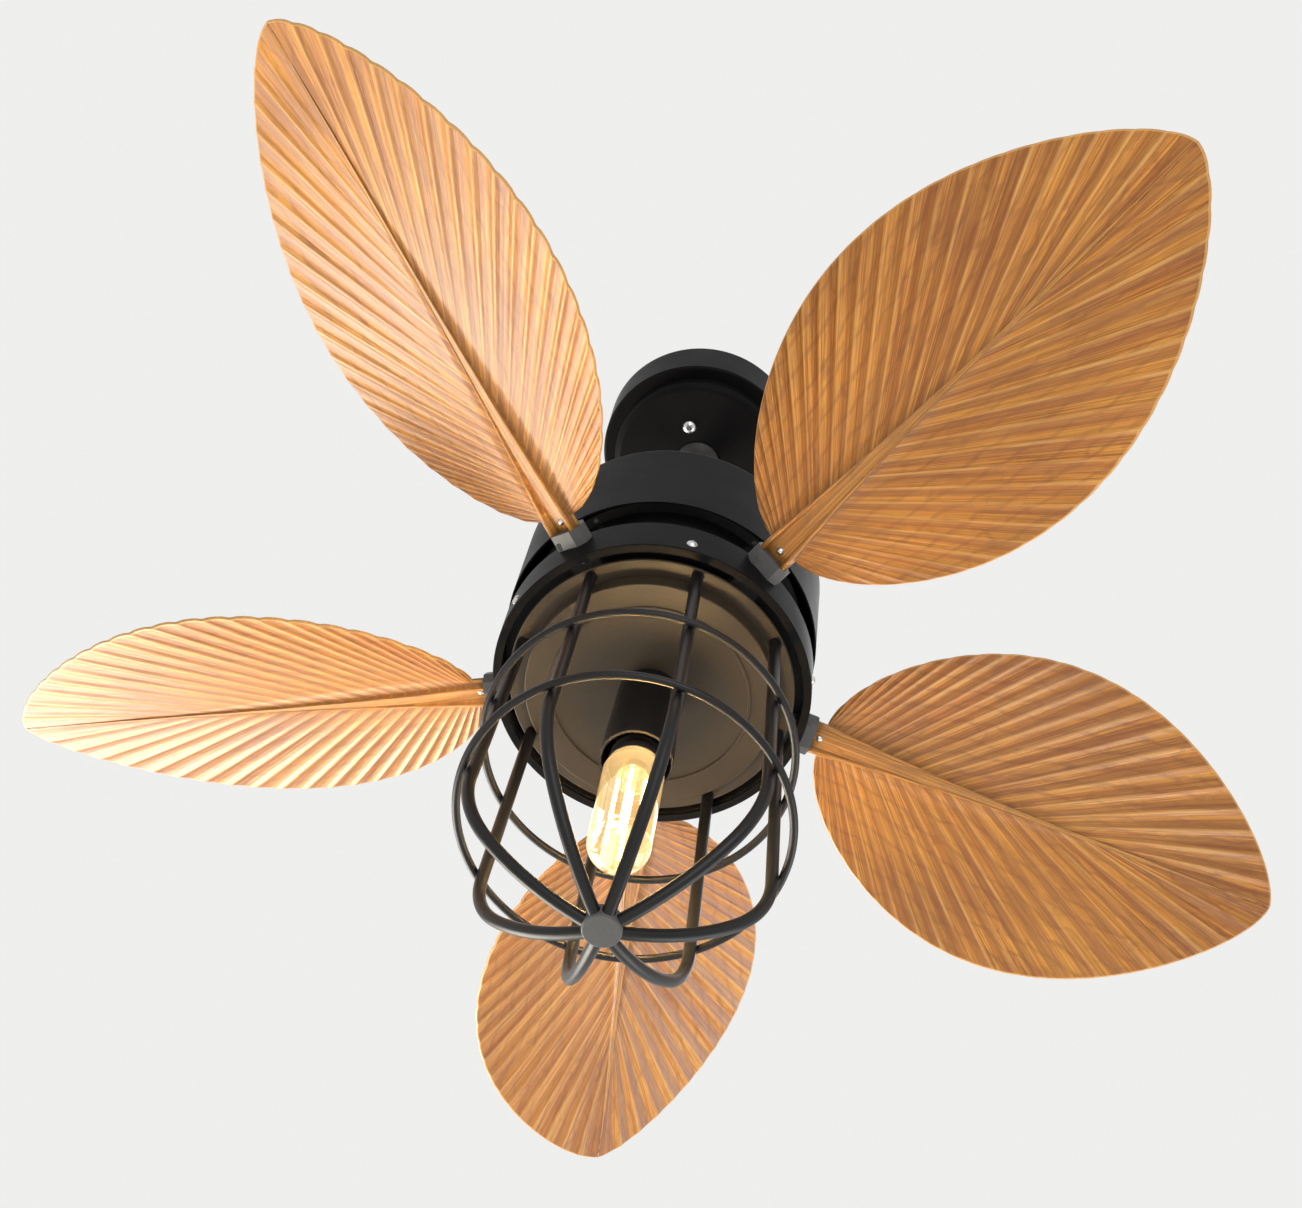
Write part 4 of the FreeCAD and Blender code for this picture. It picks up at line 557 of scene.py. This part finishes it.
class HalfLeaf:
    """One side of the leaf, as rings of points that each follow one fold line.

    A ring starts on the channel's floor, under the leaf. It goes over a rail, out along the under side, round
    the edge and back along the upper side. Past the last line the rings slide to the tip.
    """

    def __init__(self, look):
        folds = np.linspace(0, FOLD_LINES, FOLD_LINES * look.steps_per_fold + 1)
        tip = np.linspace(FOLD_LINES, FOLD_LINES + 1, TIP_RINGS + 1)[1:]
        self.line = np.concatenate([[0], folds, tip])[:, None]
        self.wave = fold_wave(np.clip(self.line, 0, FOLD_LINES), look)
        self.set_rib()
        self.set_run()
        self.set_level(look)
        under, upper = self.sheets()
        sections = [self.channel(), self.rail(), under, self.rim(), upper, self.back()]
        self.points = np.concatenate(sections, 1)

    def set_rib(self):
        """The midrib's width, height and channel: powers of the share of its length that is left."""
        slide = np.clip(self.line - FOLD_LINES, 0, 1)
        share = np.clip(self.line / FOLD_LINES, 0, 1) ** RIB_SPACING_POWER
        left = 1 - share
        width_lost = STEM_HALF_WIDTH - RIB_END_HALF_WIDTH
        height_lost = RAIL_HEIGHT - RAIL_END_HEIGHT
        self.half_width = (RIB_END_HALF_WIDTH + width_lost * left ** RIB_NARROWING_POWER) * (1 - slide)
        self.height = (RAIL_END_HEIGHT + height_lost * left ** RAIL_LOWERING_POWER) * (1 - slide)
        depth_share = CHANNEL_DEPTH_SHARE + CHANNEL_STEM_DEPTH_SHARE * left ** CHANNEL_FADING_POWER
        self.recess = self.height * depth_share
        self.rib_x = STEM_LENGTH + (LEAF_LENGTH * RIB_END_SHARE - STEM_LENGTH) * share
        self.rib_x = self.rib_x + (LEAF_LENGTH - self.rib_x) * slide
        self.rib_x[0] = 0

    def set_run(self):
        """Each line's direction from the midrib to the edge, and how far the flat sheet goes along it."""
        edge_x, edge_y = leaf_edge(self.line)
        edge_x[0] = 0
        reach = np.hypot(edge_x - self.rib_x, edge_y - self.half_width)
        safe = np.maximum(reach, SHORTEST_REACH)
        self.along_x = (edge_x - self.rib_x) / safe
        self.along_y = (edge_y - self.half_width) / safe
        inside = np.maximum(reach + self.wave * SCALLOP - LEAF_HALF_SHEET, 0)
        self.run = inside * (reach > LEAF_HALF_SHEET)

    def set_level(self, look):
        """The sheet's height: the fold's wave, which grows outward and flattens again at the rim."""
        self.out = np.sin(np.linspace(0, np.pi / 2, SHEET_POINTS))[None]
        flattened = 1 - look.rim_share * self.out ** RIM_FADING_POWER
        self.level = self.wave * look.fold_depth * self.out * flattened

    def across(self, y, z):
        """Points straight across the midrib at each line."""
        return np.stack([np.broadcast_to(self.rib_x, y.shape), y, np.broadcast_to(z, y.shape)], -1)

    def outward(self, distance, z):
        """Points along each line at a distance from the midrib's side."""
        x = self.rib_x + self.along_x * distance
        y = self.half_width + self.along_y * distance
        return np.stack([x, y, z], -1)

    def channel(self):
        """The channel's level floor, from the middle to the rail."""
        y = self.half_width * CHANNEL_WIDTH_SHARE * np.linspace(0, 1, CHANNEL_POINTS)[None]
        return self.across(y, -LEAF_HALF_SHEET - self.height + self.recess)

    def rail(self):
        """The rail's domed top: half an ellipse across it."""
        arc = np.linspace(0, np.pi, RAIL_POINTS)[None]
        inner = self.half_width * CHANNEL_WIDTH_SHARE
        crown = np.minimum(self.recess, self.half_width * RAIL_CROWN_SHARE)
        y = (inner + self.half_width) / 2 - (self.half_width - inner) / 2 * np.cos(arc)
        return self.across(y, -LEAF_HALF_SHEET - self.height + crown * (1 - np.sin(arc)))

    def sheets(self):
        """The under side outward and the upper side inward, each half a sheet off the folds' level."""
        distance = self.run * self.out
        under = self.outward(distance, self.level - LEAF_HALF_SHEET)
        upper = self.outward(distance, self.level + LEAF_HALF_SHEET)
        return under, upper[:, ::-1]

    def rim(self):
        """The round edge: a half circle as thick as the sheet."""
        turn = np.linspace(-np.pi / 2, np.pi / 2, RIM_POINTS + 2)[None, 1:-1]
        distance = self.run + LEAF_HALF_SHEET * np.cos(turn) * (self.run > 0)
        return self.outward(distance, self.level[:, -1:] + LEAF_HALF_SHEET * np.sin(turn))

    def back(self):
        """The middle of the upper side."""
        return np.stack([self.rib_x, self.half_width * 0, self.level[:, :1] + LEAF_HALF_SHEET], -1)

    def marks(self):
        """The values that the wood reads at each point: grain, fold from crease to crest, bands and rim."""
        column = np.arange(self.points.shape[1])
        first_rim = CHANNEL_POINTS + RAIL_POINTS + SHEET_POINTS
        on_rib = column < CHANNEL_POINTS + RAIL_POINTS
        on_rim = (column >= first_rim - 1) & (column <= first_rim + RIM_POINTS)
        facing = np.where(column < first_rim, -1.0, 1.0)
        x, y, z = np.moveaxis(self.points, -1, 0)

        away = np.hypot(x - self.rib_x, y - self.half_width)
        sheet_grain = np.stack([np.broadcast_to(self.line, y.shape), away, y * SHEET_GRAIN_ACROSS], -1)
        rib_line = y * RIB_GRAIN_ACROSS + RIB_GRAIN_START
        rib_grain = np.stack([rib_line, x * RIB_GRAIN_ALONG, z * RIB_GRAIN_DEEP], -1)
        grain = np.where(on_rib[None, :, None], rib_grain, sheet_grain)
        # The midrib takes a value near a crest: painted light that keeps it pale
        fold = np.where(on_rib[None], RIB_PAINTED_LIGHT, self.wave * facing[None])
        cross = y * BANDS_ACROSS - x * BANDS_ALONG
        rim = np.broadcast_to(on_rim[None], fold.shape)
        return grain, {"fold": fold, "cross": cross, "rim": rim}


def leaf_place(azimuth):
    """The turn and place that carry a leaf from its own axes to its holder."""
    rise = Matrix.Rotation(-BLADE_RISE, 4, "Y")
    pitch = Matrix.Rotation(-BLADE_PITCH, 4, "X")
    turn = Matrix.Rotation(math.radians(azimuth), 4, "Z")
    return np.array(turn @ Matrix.Translation(BLADE_START) @ rise @ pitch)


def leaf_piece(number, look, material):
    """Join the leaf's two sides into closed rings, set it on its holder and write its marks."""
    half = HalfLeaf(look)
    grain, marks = half.marks()
    mirror = np.array([1, -1, 1])
    other = slice(-2, 0, -1)
    points = np.concatenate([half.points, half.points[:, other] * mirror], 1)
    grain = np.concatenate([grain, grain[:, other] * mirror + OTHER_SIDE_GRAIN], 1)
    grain = grain + np.array([0, 0, GRAIN_PER_LEAF * number])

    rows, columns = points.shape[:2]
    index = np.arange(rows * columns).reshape(rows, columns)
    after = np.roll(index, -1, 1)
    faces = np.stack([index[:-1], index[1:], after[1:], after[:-1]], -1).reshape(-1, 4)
    placed = leaf_place(FIRST_BLADE_AZIMUTH + 360 / BLADE_COUNT * (number - 1))
    spots = points.reshape(-1, 3) @ placed[:3, :3].T + placed[:3, 3]
    piece = new_piece("leaf_%d" % number, spots.tolist(), faces.tolist() + [index[0].tolist()], material)
    piece.data.polygons.foreach_set("use_smooth", np.ones(len(piece.data.polygons), dtype=bool))

    layer = piece.data.attributes.new("grain", "FLOAT_VECTOR", "POINT")
    layer.data.foreach_set("vector", grain.astype(np.float32).ravel())
    for name, values in marks.items():
        both = np.concatenate([values, values[:, other]], 1)
        layer = piece.data.attributes.new(name, "FLOAT", "POINT")
        layer.data.foreach_set("value", both.astype(np.float32).ravel())
    return piece


def make_floor(look):
    """A level square floor under the fan, paler to the eye than the light alone makes it."""
    finish = Finish("pale_floor")
    cloud = finish.noise(finish.place(), scale=3)
    finish.surface(
        Base_Color=finish.mix(cloud, opaque(look.pale), scaled(look.pale, 0.97)),
        Roughness=0.7,
        Emission_Color=opaque(look.pale),
        Emission_Strength=finish.math("MULTIPLY", seen_rays(finish.tree), look.floor_lift),
    )
    across = np.array([-FLOOR_HALF_WIDTH, FLOOR_HALF_WIDTH])
    x, y = np.meshgrid(across, across)
    corners = np.stack([x, y, np.full_like(x, -look.floor_drop)], -1).reshape(-1, 3)
    floor = new_piece("floor", corners.tolist(), [(0, 1, 3, 2)], finish.material)


def make_world(scene, look):
    """Even light on the fan, and pale surroundings where they are seen, mirrored or looked through to."""
    world = bpy.data.worlds.new("surroundings")
    world.use_nodes = True
    scene.world = world
    tree = world.node_tree
    strength = tree.nodes.new("ShaderNodeMapRange")
    strength.inputs["To Min"].default_value = look.ambient
    strength.inputs["To Max"].default_value = 1.0
    background = tree.nodes["Background"]
    background.inputs["Color"].default_value = opaque(look.pale)
    tree.links.new(seen_rays(tree), strength.inputs["Value"])
    tree.links.new(strength.outputs["Result"], background.inputs["Strength"])


def make_soft_lamp(name, lamp, key_power):
    """A square lamp that faces the fan."""
    light = bpy.data.lights.new(name, "AREA")
    light.size = lamp["side"]
    light.energy = key_power * lamp["share"]
    light.color = lamp["colour"]
    holder = bpy.data.objects.new(name, light)
    holder.location = LAMP_AIM + lamp["away"]
    holder.rotation_mode = "QUATERNION"
    holder.rotation_quaternion = (-lamp["away"]).to_track_quat("-Z", "Y")
    bpy.context.scene.collection.objects.link(holder)


def make_camera(scene):
    """A camera below the fan that looks up at it."""
    data = bpy.data.cameras.new("camera")
    data.lens = CAMERA_LENS
    data.sensor_width = SENSOR_WIDTH
    data.sensor_fit = "HORIZONTAL"
    camera = bpy.data.objects.new("camera", data)
    back = CAMERA_RIGHT.cross(CAMERA_UP)
    turn = Matrix((CAMERA_RIGHT, CAMERA_UP, back)).transposed().to_4x4()
    camera.matrix_world = Matrix.Translation(CAMERA_PLACE) @ turn
    scene.collection.objects.link(camera)
    scene.camera = camera


class FAN_OT_leaves(bpy.types.Operator):
    """Make the five pleated leaves and their wood"""

    bl_idname = "fan.leaves"
    bl_label = "Leaves"

    def execute(self, context):
        look = context.scene.fan_leaf
        material = leaf_finish(look)
        for number in range(1, BLADE_COUNT + 1):
            piece = leaf_piece(number, look, material)
            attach(piece, "rotor")
            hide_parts("blade_%d" % number)
        return {"FINISHED"}


class FAN_OT_painted(bpy.types.Operator):
    """Paint the canopy, drum, band, pan, cage and holders, and finish the black plastic"""

    bl_idname = "fan.painted"
    bl_label = "Painted metal"

    def execute(self, context):
        look = context.scene.fan_metal
        rough = look.paint_roughness
        wear_slots({
            "black_metal": paint_finish("satin_black", look.black, rough, lift=1.5, shine=0.05),
            "grey_metal": paint_finish("satin_grey", look.grey, rough, lift=1.3, shine=0.25),
            "ball_plastic": cast_finish("ball_black", BALL_BLACK, roughness=0.5, grain_scale=500),
            "collar_plastic": cast_finish("collar_black", COLLAR_BLACK, roughness=0.42, grain_scale=600),
        })
        # Painted light: the pan's warm brown stands for the bulb's glow on its black paint
        wear("light_pan", paint_finish("pan_black_with_painted_glow", look.shade, roughness=0.46, lift=1.2, shine=0.3))
        cage_paint = paint_finish("cage_black", look.black, roughness=0.36, lift=1.5, shine=0.32)
        for node in NODE_SLOTS:
            if node.startswith(("cage_bar", "cage_ring", "lamp_cup")):
                wear(node, cage_paint)
        return {"FINISHED"}


class FAN_OT_plated(bpy.types.Operator):
    """Finish the screws, the bracket, the rod, the bearings and the brass"""

    bl_idname = "fan.plated"
    bl_label = "Plated metal"

    def execute(self, context):
        wear_slots({
            "silver_screw": plated_finish("bright_plate", BRIGHT_PLATE, 0.22, streak_scales=(900, 900, 60)),
            "zinc_steel": plated_finish("zinc_plate", ZINC_PLATE, 0.34, streak_scales=(500, 500, 30)),
            "brass": plated_finish("brass", BRASS, 0.28, streak_scales=(300, 300, 900)),
        })
        return {"FINISHED"}


class FAN_OT_motor(bpy.types.Operator):
    """Finish the motor's core, windings and castings"""

    bl_idname = "fan.motor"
    bl_label = "Motor"

    def execute(self, context):
        wear_slots({
            "core_steel": laminated_finish(),
            "copper": wound_copper_finish(),
            "cast_alloy": cast_finish("dark_casting", DARK_CASTING, 0.5, grain_scale=420, metallic=0.6),
        })
        return {"FINISHED"}


class FAN_OT_lamp(bpy.types.Operator):
    """Finish the bulb and its holder, and light the filaments"""

    bl_idname = "fan.lamp"
    bl_label = "Lamp"

    def execute(self, context):
        look = context.scene.fan_lamp
        wear_slots({
            # Painted shade: the ceramic is dark for the shade inside the lamp cup
            "ceramic": cast_finish("ceramic_with_painted_shade", CERAMIC_PAINTED_SHADE, roughness=0.3, grain_scale=200),
            "bulb_glass": glass_finish(look.amber, look.glow, look.painted_glass_glow),
            "filament": glowing_finish(look.glow, look.strength),
        })
        for node in ("bulb_glass", "bulb_stem"):
            frame["nodes"][node].visible_shadow = False
            frame["nodes"][node].visible_diffuse = False
        return {"FINISHED"}


class FAN_OT_stage(bpy.types.Operator):
    """Set the floor, the light, the surroundings and the camera"""

    bl_idname = "fan.stage"
    bl_label = "Stage"

    def execute(self, context):
        look = context.scene.fan_stage
        make_floor(look)
        make_world(context.scene, look)
        for name, lamp in SOFT_LAMPS.items():
            make_soft_lamp(name, lamp, look.key)
        make_camera(context.scene)
        context.scene.view_settings.view_transform = "Standard"
        return {"FINISHED"}


class FAN_PT_panel(bpy.types.Panel):
    """Lists the fan's steps and sizes"""

    bl_idname = "FAN_PT_panel"
    bl_label = "Leaf ceiling fan"
    bl_space_type = "VIEW_3D"
    bl_region_type = "UI"
    bl_category = "Fan"

    def draw(self, context):
        for operator in OPERATORS:
            self.layout.operator(operator.bl_idname)
        for group_name in GROUPS:
            group = getattr(context.scene, group_name)
            for name in group.__annotations__:
                self.layout.prop(group, name)


GROUPS = {"fan_leaf": LeafSizes, "fan_metal": MetalLook, "fan_lamp": LampLook, "fan_stage": StageLook}
OPERATORS = (FAN_OT_leaves, FAN_OT_painted, FAN_OT_plated, FAN_OT_motor, FAN_OT_lamp, FAN_OT_stage)


def register():
    for kind in (*GROUPS.values(), *OPERATORS, FAN_PT_panel):
        bpy.utils.register_class(kind)
    for name, group in GROUPS.items():
        setattr(bpy.types.Scene, name, bpy.props.PointerProperty(type=group))


def unregister():
    for name in GROUPS:
        delattr(bpy.types.Scene, name)
    for kind in (FAN_PT_panel, *reversed(OPERATORS), *reversed(GROUPS.values())):
        bpy.utils.unregister_class(kind)


def main():
    register()
    bpy.ops.fan.leaves()
    bpy.ops.fan.painted()
    bpy.ops.fan.plated()
    bpy.ops.fan.motor()
    bpy.ops.fan.lamp()
    bpy.ops.fan.stage()


if __name__ == "__main__":
    main()
